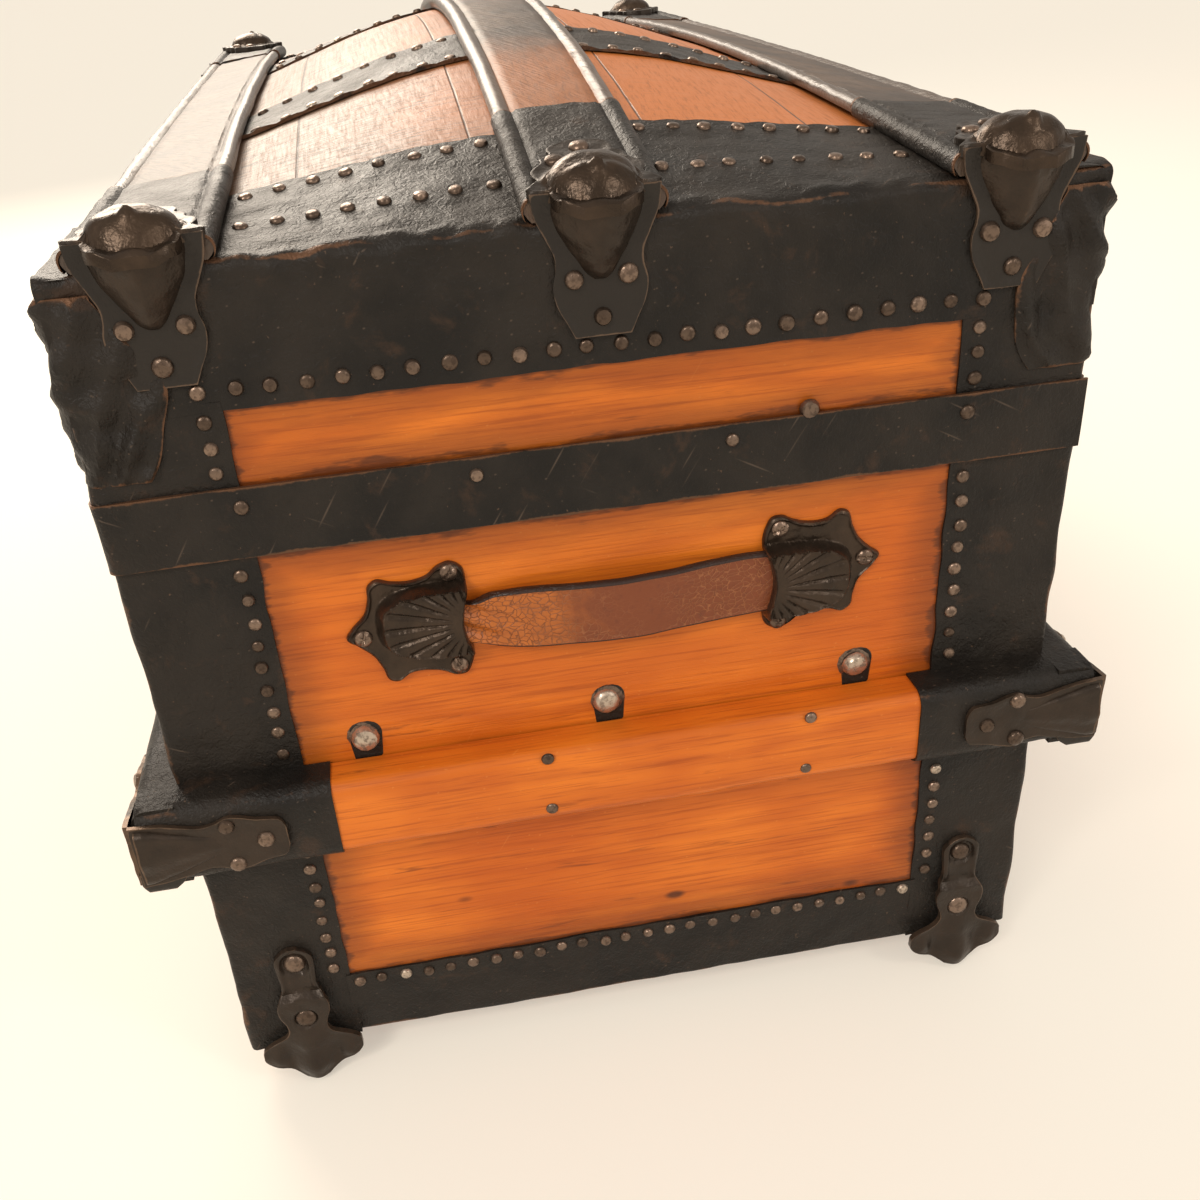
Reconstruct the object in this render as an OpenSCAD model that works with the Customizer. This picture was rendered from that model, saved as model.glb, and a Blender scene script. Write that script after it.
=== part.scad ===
// Crown-topped travelling trunk: wooden boards, sheet metal bindings, bent slats and cast fittings.
// Origin on the floor under the middle of the trunk, X along its length, front towards -Y, +Z up.

/* [Body] */
// Outside length over the metal, along X
body_l = 864; // [700:1:1000]
// Outside depth over the metal, from front to back
body_w = 480; // [420:1:560]
// Height of the body from its underside to the joint with the lid
body_h = 345; // [310:1:420]
// Height of the underside above the floor
foot_h = 24; // [22:1:30]
// Thickness of the wooden boards
board_t = 12; // [9:0.5:16]
// Thickness of the sheet metal
metal_t = 1.2; // [0.8:0.1:2]
// Width of the metal on each side of a corner
corner_w = 65; // [50:1:80]
// Height of the metal round the foot of the body
foot_metal_h = 47; // [38:1:60]
// Width of the foot metal turned under the body
foot_metal_w = 24; // [15:1:34]

/* [Lid] */
// Height of the lid's walls above the joint
lid_h = 122; // [110:1:150]
// Rise of the crown at its middle above the walls
crown_rise = 58; // [30:1:80]
// Thickness of the crowned top board
top_t = 9; // [6:0.5:12]
// Height of the metal on the walls of the lid, below its top edge
rim_metal_h = 64; // [50:1:80]
// Width of the metal turned over the top at each end
end_wrap = 98; // [60:1:120]
// Width of the metal turned over the top at front and back
side_wrap = 36; // [20:1:50]
// Width of each metal band across the top
band_w = 68; // [40:1:90]
// Distance of each band's middle from the middle of the lid
band_x = 161; // [110:1:200]
// Height of the strap round the foot of the lid
strap_h = 36; // [30:1:44]
// Length of the strap that hangs below the joint
strap_lap = 16; // [8:1:18]
// Thickness of the strap
strap_t = 1.6; // [1:0.1:2.5]

/* [Slats] */
// Width of a lid slat
lid_slat_w = 63; // [50:1:70]
// Thickness of a lid slat
lid_slat_t = 9; // [7:0.5:12]
// Distance of the outer lid slats' middle from the trunk's long sides
lid_slat_in = 45; // [40:1:80]
// Length of the metal sleeve on the end of the middle lid slat
mid_sleeve_l = 100; // [80:1:120]
// Length of the metal sleeve on the end of an outer lid slat
outer_sleeve_l = 130; // [110:1:140]
// Height of a body slat
slat_h = 46; // [38:1:60]
// Thickness of a body slat
slat_t = 22; // [16:1:28]
// Height of the body slats' middle above the underside
slat_mid = 179; // [150:1:190]
// Length of the metal sleeve on the end of a body slat
sleeve_l = 83; // [70:1:100]
// Thickness of the sleeves
sleeve_t = 1.2; // [0.8:0.1:2]
// Width of a slat under the trunk
under_slat_w = 50; // [30:1:70]
// Thickness of a slat under the trunk
under_slat_t = 9; // [6:0.5:12]
// Distance of the outer slats under the trunk from the middle one
under_slat_y = 110; // [80:1:150]

/* [Handles] */
// Distance of a handle's caps below the strap
handle_gap = 20; // [8:1:40]
// Width of the leather
handle_w = 35; // [28:1:40]
// Thickness of the leather
handle_t = 4.5; // [3:0.5:6]
// Length of leather that shows between the caps
handle_span = 155; // [120:1:200]
// Room for the fingers behind the middle of the leather
handle_bow = 15; // [8:1:24]
// Length of a cap, from its mouth to its point
cap_l = 62; // [54:1:75]
// Height of a cap
cap_h = 64; // [58:1:70]

/* [Nails and rivets] */
// Distance between neighbouring nails
nail_pitch = 16; // [14:1:40]
// Distance between the nails at the foot and up the corners
foot_nail_pitch = 13.5; // [12:0.5:30]
// Diameter of a nail head
nail_d = 7; // [5:0.5:8]
// Height of a nail head
nail_h = 1.6; // [1:0.1:2.5]
// Diameter of a rivet head on the cast fittings
rivet_d = 9; // [7:0.5:10]
// Diameter of the large bolts above the end slats
bolt_d = 13; // [10:0.5:16]
// Diameter of the washer under a large bolt
washer_d = 17; // [14:0.5:20]
// Distance of an outer large bolt from the middle of the end
bolt_gap = 134; // [100:1:150]

/* [Rollers] */
// Diameter of a roller
roller_d = 23; // [18:0.5:24]
// Width of a roller
roller_w = 18; // [12:1:24]
// Diameter of a roller's axle
axle_d = 6; // [4:0.5:8]
// Distance of a roller's middle from the trunk's long side
roller_in = 36; // [34:1:60]
// Distance of a roller's axle from the trunk's end
roller_end = 17; // [16:1:30]

/* [Hinges and catches] */
// Length of a hinge
hinge_l = 76; // [60:1:100]
// Diameter of a hinge knuckle
knuckle_d = 10; // [9:0.5:12]
// Diameter of a hinge pin
pin_d = 5; // [4:0.5:6]
// Distance of the outer hinges and of the catches from the middle
fitting_x = 260; // [200:1:300]
// Width of the hasp
hasp_w = 62; // [50:1:80]
// Length of the hasp below its pin
hasp_l = 84; // [70:1:95]
// Width of a catch tongue
tongue_w = 26; // [20:1:34]
// Length of a catch tongue below its pin
tongue_l = 74; // [60:1:85]

/* [Clearances] */
// Gap between pieces that are seated on one another
seat = 0.2; // [0.1:0.05:0.4]
// Gap between pieces that move past one another
run_gap = 0.4; // [0.3:0.05:0.8]
// Radial clearance of a pin in its bore
bore_gap = 0.08; // [0.03:0.01:0.1]

/* [Hidden] */
$fn = 32;
eps = 0.01;

half_l = body_l / 2;
half_w = body_w / 2;
// Outer faces of the boards, under the metal
wood_x = half_l - metal_t;
wood_y = half_w - metal_t;
floor_top = foot_h + metal_t + board_t;
joint_z = foot_h + body_h;
lid_z = joint_z + run_gap;
lid_top = joint_z + lid_h;
rim_low = lid_top - rim_metal_h;
strap_low = joint_z - strap_lap;
strap_top = strap_low + strap_h;
strap_in_x = half_l + run_gap;
strap_in_y = half_w + run_gap;
strap_out_x = strap_in_x + strap_t;
strap_out_y = strap_in_y + strap_t;
lid_slat_y = half_w - lid_slat_in;

wood = [0.80, 0.42, 0.14];
dark_metal = [0.19, 0.18, 0.17];
cast_metal = [0.23, 0.20, 0.18];
bronze = [0.42, 0.32, 0.24];
leather = [0.50, 0.24, 0.13];
grey_slat = [0.48, 0.40, 0.32];

// ---------- the crown ----------
// Power that draws the crown's cross section in from a plain wave
crown_power = 1.6;
function crown_z(x, y) = lid_top + crown_rise * (1 - pow(2 * x / body_l, 2))
    * pow(max(0, cos(180 * y / body_w)), crown_power);

function divide(a, b, n) = [for (i = [0:n - 1]) a + (b - a) * i / n];
function mirrored(half) = concat([for (i = [len(half) - 1:-1:1]) -half[i]], half);

band_in = band_x - band_w / 2;
band_out = band_x + band_w / 2;
wrap_x = half_l - end_wrap;
wrap_y = half_w - side_wrap;
// Cuts across the crown that every piece lying on it shares, so that their faces meet
half_xs = concat(divide(0, band_in, 4), divide(band_in, band_out, 2), divide(band_out, wrap_x, 4),
    divide(wrap_x, wood_x, 3), [wood_x, half_l]);
half_ys = concat(divide(0, wrap_y, 7), divide(wrap_y, wood_y, 2), [wood_y, half_w]);
crown_xs = mirrored(half_xs);
crown_ys = mirrored(half_ys);

// The cuts of a list that lie from a to b
function span_of(cuts, a, b) = [for (c = cuts) if (c > a - eps && c < b + eps) c];

// The two triangles of a cell a, b, c, d: the diagonal turns over with the quarter of the lid that the
// cell lies in, so that a piece and its mirror image meet the board in one surface
function cell(a, b, c, d, turned) = turned ? [[a, b, d], [b, c, d]] : [[a, b, c], [a, c, d]];

// A sheet that follows the crown, between two heights over it
module crown_sheet(x0, x1, y0, y1, low, high) {
    xs = span_of(crown_xs, x0, x1);
    ys = span_of(crown_ys, y0, y1);
    nx = len(xs);
    ny = len(ys);
    n = nx * ny;
    top = [for (x = xs) for (y = ys) [x, y, crown_z(x, y) + high]];
    under = [for (x = xs) for (y = ys) [x, y, crown_z(x, y) + low]];
    over = [for (i = [0:nx - 2]) for (j = [0:ny - 2])
        let (a = i * ny + j, b = a + 1, d = a + ny, c = d + 1)
        each cell(a, b, c, d, (xs[i] + xs[i + 1]) * (ys[j] + ys[j + 1]) < 0)];
    below = [for (f = over) [f[2] + n, f[1] + n, f[0] + n]];
    first = [for (j = [0:ny - 2]) [j + 1, j, n + j, n + j + 1]];
    last = [for (j = [0:ny - 2]) let (a = (nx - 1) * ny + j) [a, a + 1, n + a + 1, n + a]];
    near = [for (i = [0:nx - 2]) let (a = i * ny) [a, a + ny, n + a + ny, n + a]];
    far = [for (i = [0:nx - 2]) let (a = i * ny + ny - 1) [a + ny, a, n + a, n + a + ny]];
    polyhedron(points = concat(top, under), faces = concat(over, below, first, last, near, far));
}

// A bar bent over the crown: a closed outline [y, height] carried along the cuts xs. The ends of a shell,
// whose outline runs over its outside and back along its inside, close in strips from one to the other.
module crown_bar(y_mid, outline, xs, shell = false) {
    n = len(outline);
    m = len(xs);
    points = [for (x = xs) for (p = outline) [x, y_mid + p[0], crown_z(x, y_mid + p[0]) + p[1]]];
    sides = [for (i = [0:m - 2]) for (k = [0:n - 1])
        let (a = i * n + k, b = i * n + (k + 1) % n, p = outline[k][0], q = outline[(k + 1) % n][0])
        each cell(a, a + n, b + n, b, (xs[i] + xs[i + 1]) * (2 * y_mid + p + q) * (q - p) > 0)];
    first = shell ? [for (k = [0:n / 2 - 2]) [k, k + 1, n - 2 - k, n - 1 - k]] : [[for (k = [0:n - 1]) k]];
    last = [for (f = first) [for (i = [len(f) - 1:-1:0]) (m - 1) * n + f[i]]];
    polyhedron(points = points, faces = concat(sides, first, last));
}

// ---------- repeated placings ----------
module both_ends() {
    children();
    mirror([1, 0, 0]) children();
}

module both_sides() {
    children();
    mirror([0, 1, 0]) children();
}

// Puts a shape that is drawn lying in XY, rising along Z, on the +X end
module on_end(x, y, z) {
    translate([x, y, z]) rotate([90, 0, 90]) children();
}

// The same on the front, rising towards -Y
module on_front(x, y, z) {
    translate([x, y, z]) rotate([90, 0, 0]) children();
}

module box(x0, x1, y0, y1, z0, z1) {
    translate([x0, y0, z0]) cube([x1 - x0, y1 - y0, z1 - z0]);
}

// ---------- boards of the body ----------
module bottom_board() {
    color(wood) box(-wood_x, wood_x, -wood_y, wood_y, foot_h + metal_t, floor_top);
}

// Slats that the trunk is slid on, along its underside between the rollers
module bottom_slats() {
    reach = half_l - foot_metal_w - under_slat_w / 2;
    color(wood) for (k = [-1:1]) box(-reach, reach, k * under_slat_y - under_slat_w / 2,
        k * under_slat_y + under_slat_w / 2, foot_h + metal_t - under_slat_t, foot_h + metal_t);
}

module front_board() {
    color(wood) box(-wood_x, wood_x, -wood_y, board_t - wood_y, floor_top, joint_z);
}

module back_board() {
    color(wood) mirror([0, 1, 0]) front_board();
}

module right_end_board() {
    color(wood) box(wood_x - board_t, wood_x, board_t - wood_y, wood_y - board_t, floor_top, joint_z);
}

module left_end_board() {
    color(wood) mirror([1, 0, 0]) right_end_board();
}

// ---------- metal of the body ----------
// An angle round the corner at +X +Y
module corner_angle(z0, z1) {
    translate([0, 0, z0]) linear_extrude(z1 - z0) polygon([
        [half_l, half_w], [half_l - corner_w, half_w], [half_l - corner_w, wood_y],
        [wood_x, wood_y], [wood_x, half_w - corner_w], [half_l, half_w - corner_w]]);
}

module body_corner_metal() {
    color(dark_metal) both_ends() both_sides() corner_angle(foot_h, joint_z);
}

// An angle under the foot of a wall: a leg up its face and a leg turned under
module foot_angle(length) {
    rotate([90, 0, 90]) linear_extrude(length, center = true) polygon([
        [0, 0], [0, foot_metal_h], [-metal_t, foot_metal_h], [-metal_t, metal_t],
        [-foot_metal_w, metal_t], [-foot_metal_w, 0]]);
}

module foot_metal() {
    color(dark_metal) {
        both_sides() translate([0, half_w, foot_h]) foot_angle(body_l - 2 * corner_w);
        both_ends() translate([half_l, 0, foot_h]) rotate([0, 0, -90]) foot_angle(body_w - 2 * corner_w);
    }
}

// ---------- slats of the body ----------
slat_r = 8;
slat_z = foot_h + slat_mid;
// Where the slats stop: the end slats pass the corner, the side slats stop short of it
end_slat_stop = half_w + 3;
side_slat_stop = half_l - 12;

// Section of a slat lying in XY, its back on X = 0, both outer edges rounded
module slat_section(grow) {
    t = slat_t + grow;
    h = slat_h + 2 * grow;
    r = slat_r + grow;
    translate([0, -h / 2]) square([t - r, h]);
    translate([0, r - h / 2]) square([t, h - 2 * r]);
    for (s = [-1, 1]) translate([t - r, s * (h / 2 - r)]) circle(r);
}

// A slat on the +X end from y0 to y1
module end_bar(y0, y1, grow) {
    translate([half_l, y1, slat_z]) rotate([90, 0, 0]) linear_extrude(y1 - y0) slat_section(grow);
}

// A slat on the +Y side from x0 to x1
module side_bar(x0, x1, grow) {
    translate([x0, half_w, slat_z]) rotate([90, 0, 90]) linear_extrude(x1 - x0) slat_section(grow);
}

module right_end_slat() {
    color(wood) end_bar(-end_slat_stop, end_slat_stop, 0);
}

module left_end_slat() {
    color(wood) mirror([1, 0, 0]) right_end_slat();
}

module back_slat() {
    color(wood) side_bar(-side_slat_stop, side_slat_stop, 0);
}

module front_slat() {
    color(wood) mirror([0, 1, 0]) back_slat();
}

module end_slat_sleeves() {
    color(dark_metal) both_ends() both_sides() difference() {
        end_bar(end_slat_stop - sleeve_l, end_slat_stop, seat + sleeve_t);
        end_bar(end_slat_stop - sleeve_l - 1, end_slat_stop + 1, seat);
    }
}

module side_slat_sleeves() {
    color(dark_metal) both_ends() both_sides() difference() {
        side_bar(side_slat_stop - sleeve_l, side_slat_stop, seat + sleeve_t);
        side_bar(side_slat_stop - sleeve_l - 1, side_slat_stop + 1, seat);
    }
}

// ---------- cast bumpers on the corners of the body slats ----------
plate_t = 2.5;
sleeve_out = slat_t + seat + sleeve_t;
bumper_h = 38;
bumper_arm = 78;
horn_r = 17;
horn_tip_r = 9;
horn_l = 44;
horn_sink = 8;
knob_r = 16;
knob_in = 11;
// Outline of an arm in XY: broad at the corner, drawn in, with a blunt end
module bumper_arm_shape(length) {
    h = bumper_h / 2;
    edge = [[0, 1], [0.30, 0.86], [0.42, 0.66], [0.52, 0.82], [0.62, 0.94], [0.72, 0.84], [0.84, 0.54],
        [0.96, 0.34], [1, 0.18]];
    polygon(concat([for (e = edge) [e[0] * length, e[1] * h]],
        [for (i = [len(edge) - 1:-1:0]) [edge[i][0] * length, -edge[i][1] * h]]));
}

// Rivets of an arm, as [distance from the corner, height from its middle]
bumper_rivets = [[49, 12.5], [49, -12.5], [66, 0]];

arm_x = half_l + sleeve_out + seat;
arm_y = half_w + sleeve_out + seat;
block_x = side_slat_stop + seat;
block_y = end_slat_stop + seat;

// The bumper at +X +Y: two arms that meet in the corner, the knob round it, and the horn
module slat_bumper() {
    color(cast_metal) {
        translate([arm_x, arm_y + plate_t, slat_z]) rotate([90, 0, 90])
            linear_extrude(plate_t) mirror([1, 0]) bumper_arm_shape(bumper_arm + plate_t);
        translate([arm_x + plate_t, arm_y + plate_t, slat_z]) rotate([90, 0, 0])
            linear_extrude(plate_t) mirror([1, 0]) bumper_arm_shape(bumper_arm + plate_t);
        intersection() {
            translate([arm_x - knob_in, arm_y - knob_in, slat_z]) sphere(r = knob_r);
            box(block_x, arm_x + knob_r, block_y, arm_y + knob_r, 0, joint_z);
        }
        intersection() {
            translate([arm_x - horn_sink, arm_y - horn_l, slat_z]) rotate([-90, 0, 0])
                cylinder(h = horn_l - 4, r1 = horn_tip_r, r2 = horn_r);
            box(arm_x, arm_x + horn_r, 0, arm_y, 0, joint_z);
        }
    }
}

module slat_bumper_right_back() {
    slat_bumper();
}

module slat_bumper_right_front() {
    mirror([0, 1, 0]) slat_bumper();
}

module slat_bumper_left_back() {
    mirror([1, 0, 0]) slat_bumper();
}

module slat_bumper_left_front() {
    mirror([1, 0, 0]) slat_bumper_right_front();
}

// A low round head with its flat back on XY
module head(d, h) {
    cylinder(h = h, d1 = d, d2 = 0.62 * d, $fn = 20);
}

module slat_rivets() {
    color(bronze) both_ends() both_sides() for (r = bumper_rivets) {
        on_end(arm_x + plate_t, arm_y - r[0], slat_z + r[1]) head(rivet_d, 3);
        translate([arm_x - r[0], arm_y + plate_t, slat_z + r[1]]) rotate([-90, 0, 0]) head(rivet_d, 3);
    }
}

// ---------- handles on the ends ----------
handle_z = strap_low - handle_gap - cap_h / 2;
cap_base_t = 2.5;
cap_rise = 15;
mouth_y = handle_span / 2;
tab_in = 22;

// Outline of a cap in XY: mouth on X = 0, point towards +X
module cap_shape() {
    h = cap_h / 2;
    polygon([[0, 0.60 * h], [3, 0.94 * h], [9, h], [15, 0.92 * h], [26, 0.80 * h],
        [0.63 * cap_l, 0.92 * h], [0.74 * cap_l, 0.52 * h], [cap_l, 0.10 * h], [0.82 * cap_l, -0.30 * h],
        [0.72 * cap_l, -0.84 * h], [0.50 * cap_l, -0.82 * h], [15, -0.94 * h], [8, -h], [2, -0.92 * h],
        [0, -0.60 * h]]);
}

// Screws of a cap, as [distance from the mouth, height from its middle]
cap_screws = [[8, cap_h / 2 - 5], [7, 5 - cap_h / 2], [0.86 * cap_l, 0.06 * cap_h / 2]];

// The cap that points towards +Y on the +X end: its plate and the raised shell over the leather
module handle_cap() {
    shell_l = 0.70 * cap_l;
    shell_h = handle_w + 9;
    difference() {
        union() {
            on_end(wood_x, mouth_y, handle_z) linear_extrude(cap_base_t) cap_shape();
            hull() {
                on_end(wood_x + cap_base_t, mouth_y, handle_z)
                    translate([0, -shell_h / 2, -1]) cube([1, shell_h, 1]);
                on_end(wood_x + 1, mouth_y + shell_l - 20, handle_z) cylinder(h = 2, r = 20);
                on_end(wood_x + cap_rise - 2, mouth_y, handle_z)
                    translate([0, -shell_h / 2 + 3, 0]) cube([1, shell_h - 6, 2]);
                on_end(wood_x + 4, mouth_y + shell_l - 21, handle_z) cylinder(h = 7, r1 = 18, r2 = 12);
            }
        }
        box(wood_x + cap_base_t, wood_x + cap_base_t + handle_t + 4 * seat, mouth_y - 1,
            mouth_y + tab_in + seat, handle_z - handle_w / 2 - 2 * seat, handle_z + handle_w / 2 + 2 * seat);
    }
}

module right_handle_caps() {
    color(cast_metal) both_sides() handle_cap();
}

module left_handle_caps() {
    color(cast_metal) mirror([1, 0, 0]) both_sides() handle_cap();
}

leather_x = wood_x + cap_base_t + 2 * seat;
// How far the leather's middle bows out from the end of the trunk, at the place y
function bow_at(y) = abs(y) > mouth_y ? 0 : handle_bow * pow(cos(90 * y / mouth_y), 2);
leather_ys = concat([-mouth_y - tab_in], [for (i = [-10:10]) mouth_y * i / 10], [mouth_y + tab_in]);

module right_handle_leather() {
    color(leather) translate([0, 0, handle_z - handle_w / 2]) linear_extrude(handle_w) polygon(concat(
        [for (y = leather_ys) [leather_x + bow_at(y), y]],
        [for (i = [len(leather_ys) - 1:-1:0])
            [leather_x + bow_at(leather_ys[i]) + handle_t, leather_ys[i]]]));
}

module left_handle_leather() {
    mirror([1, 0, 0]) right_handle_leather();
}

module handle_screws() {
    color(bronze) both_ends() both_sides() for (s = cap_screws)
        on_end(wood_x + cap_base_t, mouth_y + s[0], handle_z + s[1]) head(9, 2.6);
}

// ---------- large bolts above the end slats ----------
washer_t = 1.5;
bolt_z = slat_z + slat_h / 2 + sleeve_t + washer_d / 2 + 3;
module end_bolts() {
    color(bronze) both_ends() for (k = [-1:1]) on_end(wood_x, k * bolt_gap, bolt_z) {
        cylinder(h = washer_t, d = washer_d);
        translate([0, 0, washer_t]) head(bolt_d, 4);
    }
}

// ---------- nails ----------
// Places of a row of nails from a to b, near the pitch apart
function nail_row(a, b, pitch = nail_pitch) = let (n = max(1, round((b - a) / pitch)))
    [for (i = [0:n]) a + (b - a) * i / n];
nail_in = 8;
column_y = half_w - corner_w + nail_in;
column_x = half_l - corner_w + nail_in;
foot_nail_z = foot_h + foot_metal_h - 6;
sleeve_low = slat_z - slat_h / 2 - sleeve_t;
sleeve_high = slat_z + slat_h / 2 + sleeve_t;
low_column = nail_row(foot_h + foot_metal_h + 8, sleeve_low - 10, foot_nail_pitch);
high_column = nail_row(sleeve_high + 10, strap_low - 10, foot_nail_pitch);

module body_nails() {
    color(bronze) both_ends() {
        for (y = nail_row(-column_y + nail_pitch, column_y - nail_pitch, foot_nail_pitch))
            on_end(half_l, y, foot_nail_z) head(nail_d, nail_h);
        both_sides() for (z = concat(low_column, high_column)) {
            on_end(half_l, column_y, z) head(nail_d, nail_h);
            translate([column_x, half_w, z]) rotate([-90, 0, 0]) head(nail_d, nail_h);
        }
    }
    color(bronze) both_sides() for (x = nail_row(-column_x + nail_pitch, column_x - nail_pitch))
        translate([x, half_w, foot_nail_z]) rotate([-90, 0, 0]) head(nail_d, nail_h);
}

// ---------- casters ----------
roller_y = half_w - roller_in;
roller_x = half_l - roller_end;
axle_z = roller_d / 2;
cheek_t = 3;
cheek_y = roller_w / 2 + run_gap;
foot_w = 59;
tongue_r = 10.5;
tongue_top = 78;
shoulder_top = 43;
bracket_drop = 19;

// Half the outline of the bracket's face, as [across, height from the underside], from the tongue down
bracket_half = [[tongue_r, tongue_top - tongue_r], [tongue_r, shoulder_top + 2], [14, shoulder_top - 5],
    [15, shoulder_top - 15], [12, 20], [13, 13], [20, 8], [foot_w / 2, 6], [foot_w / 2, -7], [15, -12],
    [9, -bracket_drop]];

module bracket_shape() {
    polygon(concat(bracket_half,
        [for (i = [len(bracket_half) - 1:-1:0]) [-bracket_half[i][0], bracket_half[i][1]]]));
    translate([0, tongue_top - tongue_r]) circle(tongue_r);
}

module caster_bracket() {
    difference() {
        union() {
            on_end(half_l, roller_y, foot_h) linear_extrude(3.5) bracket_shape();
            on_end(half_l + 3, roller_y, foot_h) linear_extrude(4) intersection() {
                bracket_shape();
                translate([-foot_w / 2, -bracket_drop]) square([foot_w, bracket_drop + shoulder_top]);
            }
            for (s = [-1, 1]) caster_cheek(s);
        }
        translate([roller_x, roller_y, axle_z]) rotate([90, 0, 0])
            cylinder(h = foot_w, d = axle_d + 2 * bore_gap, center = true);
    }
}

// One side of the fork that holds the axle, joined to the face
module caster_cheek(s) {
    y0 = roller_y + (s > 0 ? cheek_y : -cheek_y - cheek_t);
    box(roller_x - 6, half_l + 3, y0, y0 + cheek_t, axle_z - 6, foot_h);
}

module caster_brackets() {
    color(cast_metal) both_ends() both_sides() caster_bracket();
}

axle_head = 1.5;
module roller_axles() {
    color(bronze) both_ends() both_sides() translate([roller_x, roller_y, axle_z]) rotate([90, 0, 0]) {
        cylinder(h = 2 * (cheek_y + cheek_t + seat), d = axle_d, center = true);
        for (s = [-1, 1]) translate([0, 0, s * (cheek_y + cheek_t + seat + axle_head / 2)])
            cylinder(h = axle_head, d = axle_d + 3, center = true);
    }
}

module roller() {
    color(cast_metal) translate([roller_x, roller_y, axle_z]) rotate([90, 0, 0])
        rotate_extrude() polygon([
            [axle_d / 2 + bore_gap, -roller_w / 2], [roller_d / 2 - 1.5, -roller_w / 2],
            [roller_d / 2, 1.5 - roller_w / 2], [roller_d / 2, roller_w / 2 - 1.5],
            [roller_d / 2 - 1.5, roller_w / 2], [axle_d / 2 + bore_gap, roller_w / 2]]);
}

module roller_right_back() {
    roller();
}

module roller_right_front() {
    mirror([0, 1, 0]) roller();
}

module roller_left_back() {
    mirror([1, 0, 0]) roller();
}

module roller_left_front() {
    mirror([1, 0, 0]) mirror([0, 1, 0]) roller();
}

// ---------- boards of the lid ----------
top_under = lid_top - metal_t - top_t;

module lid_back_board() {
    color(wood) box(-wood_x, wood_x, wood_y - board_t, wood_y, lid_z, top_under);
}

module lid_front_board() {
    color(wood) mirror([0, 1, 0]) lid_back_board();
}

module lid_right_board() {
    color(wood) box(wood_x - board_t, wood_x, board_t - wood_y, wood_y - board_t, lid_z, top_under);
}

module lid_left_board() {
    color(wood) mirror([1, 0, 0]) lid_right_board();
}

module lid_top_board() {
    color(wood) crown_sheet(-wood_x, wood_x, -wood_y, wood_y, -metal_t - top_t, -metal_t);
}

// ---------- metal of the lid ----------
module lid_corner_metal() {
    color(dark_metal) both_ends() both_sides() corner_angle(lid_z, rim_low);
}

module lid_end_metal() {
    color(dark_metal) both_ends() {
        crown_sheet(wrap_x, half_l, -half_w, half_w, -metal_t, 0);
        box(wood_x, half_l, -half_w, half_w, rim_low, lid_top - metal_t / 2);
    }
}

module lid_side_metal() {
    color(dark_metal) both_sides() {
        crown_sheet(-wrap_x, wrap_x, wrap_y, half_w, -metal_t, 0);
        box(-wood_x, wood_x, wood_y, half_w, rim_low, lid_top - metal_t - eps);
        box(-wrap_x, wrap_x, wood_y, half_w, rim_low, lid_top - metal_t / 2);
    }
}

module lid_bands() {
    color(dark_metal) both_ends() crown_sheet(band_in, band_out, -wrap_y, wrap_y, -metal_t, 0);
}

// The strap hangs over the joint at the front and the ends, and stops above it at the back
module lid_strap() {
    color(dark_metal) difference() {
        box(-strap_out_x, strap_out_x, -strap_out_y, strap_out_y, strap_low, strap_top);
        box(-strap_in_x, strap_in_x, -strap_in_y, strap_in_y, strap_low - 1, strap_top + 1);
        box(-strap_out_x - 1, strap_out_x + 1, half_w, strap_out_y + 1, strap_low - 1, lid_z);
    }
}

// ---------- slats of the lid ----------
slat_low = 3 * seat;
slat_mid_z = slat_low + lid_slat_t / 2;
slat_edge = lid_slat_w / 2 - lid_slat_t / 2;
// Half round edge of a slat, as [across, height over the crown], r from its middle line, turns of 30 degrees
function slat_arc(side, r, turns) = [for (k = turns)
    [side * (slat_edge + r * sin(30 * k)), slat_mid_z - r * cos(30 * k)]];

slat_xs = span_of(crown_xs, -wood_x, wood_x);

// A slat of the lid: its faces follow the crown and its edges are half round
module lid_slat(y_mid) {
    r = lid_slat_t / 2;
    color(grey_slat) crown_bar(y_mid, concat([[0, slat_low]], slat_arc(-1, r, [0:6]),
        [[0, slat_low + lid_slat_t]], slat_arc(1, r, [6:-1:0])), slat_xs);
}

module lid_centre_slat() {
    lid_slat(0);
}

module lid_front_slat() {
    lid_slat(-lid_slat_y);
}

module lid_back_slat() {
    lid_slat(lid_slat_y);
}

// A sleeve at the +X end, open below: it goes over the slat and down both edges past its widest line
module lid_slat_sleeve(y_mid, length) {
    inner = lid_slat_t / 2 + seat;
    outer = inner + sleeve_t;
    crown_bar(y_mid, concat(slat_arc(-1, outer, [2:6]), [[0, slat_mid_z + outer]],
        slat_arc(1, outer, [6:-1:2]), slat_arc(1, inner, [2:6]), [[0, slat_mid_z + inner]],
        slat_arc(-1, inner, [6:-1:2])),
        concat([half_l - length], span_of(crown_xs, half_l - length + 1, wood_x), [half_l]), shell = true);
}

module lid_slat_sleeves() {
    color(dark_metal) both_ends() {
        lid_slat_sleeve(0, mid_sleeve_l);
        for (s = [-1, 1]) lid_slat_sleeve(s * lid_slat_y, outer_sleeve_l);
    }
}

// ---------- cast bumpers on the ends of the lid slats ----------
bumper_back = 46;
bumper_w = 58;
dome_r = 16;
dome_low = 8;
hang = 64;
sleeve_top = slat_low + lid_slat_t + seat + sleeve_t;
bumper_top = lid_top + sleeve_top;
// Height of the top plate over the sleeve, which clears the crown's fall across the slat
plate_lift = 0.9;
end_plate_x = half_l + 2 * seat;

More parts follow.
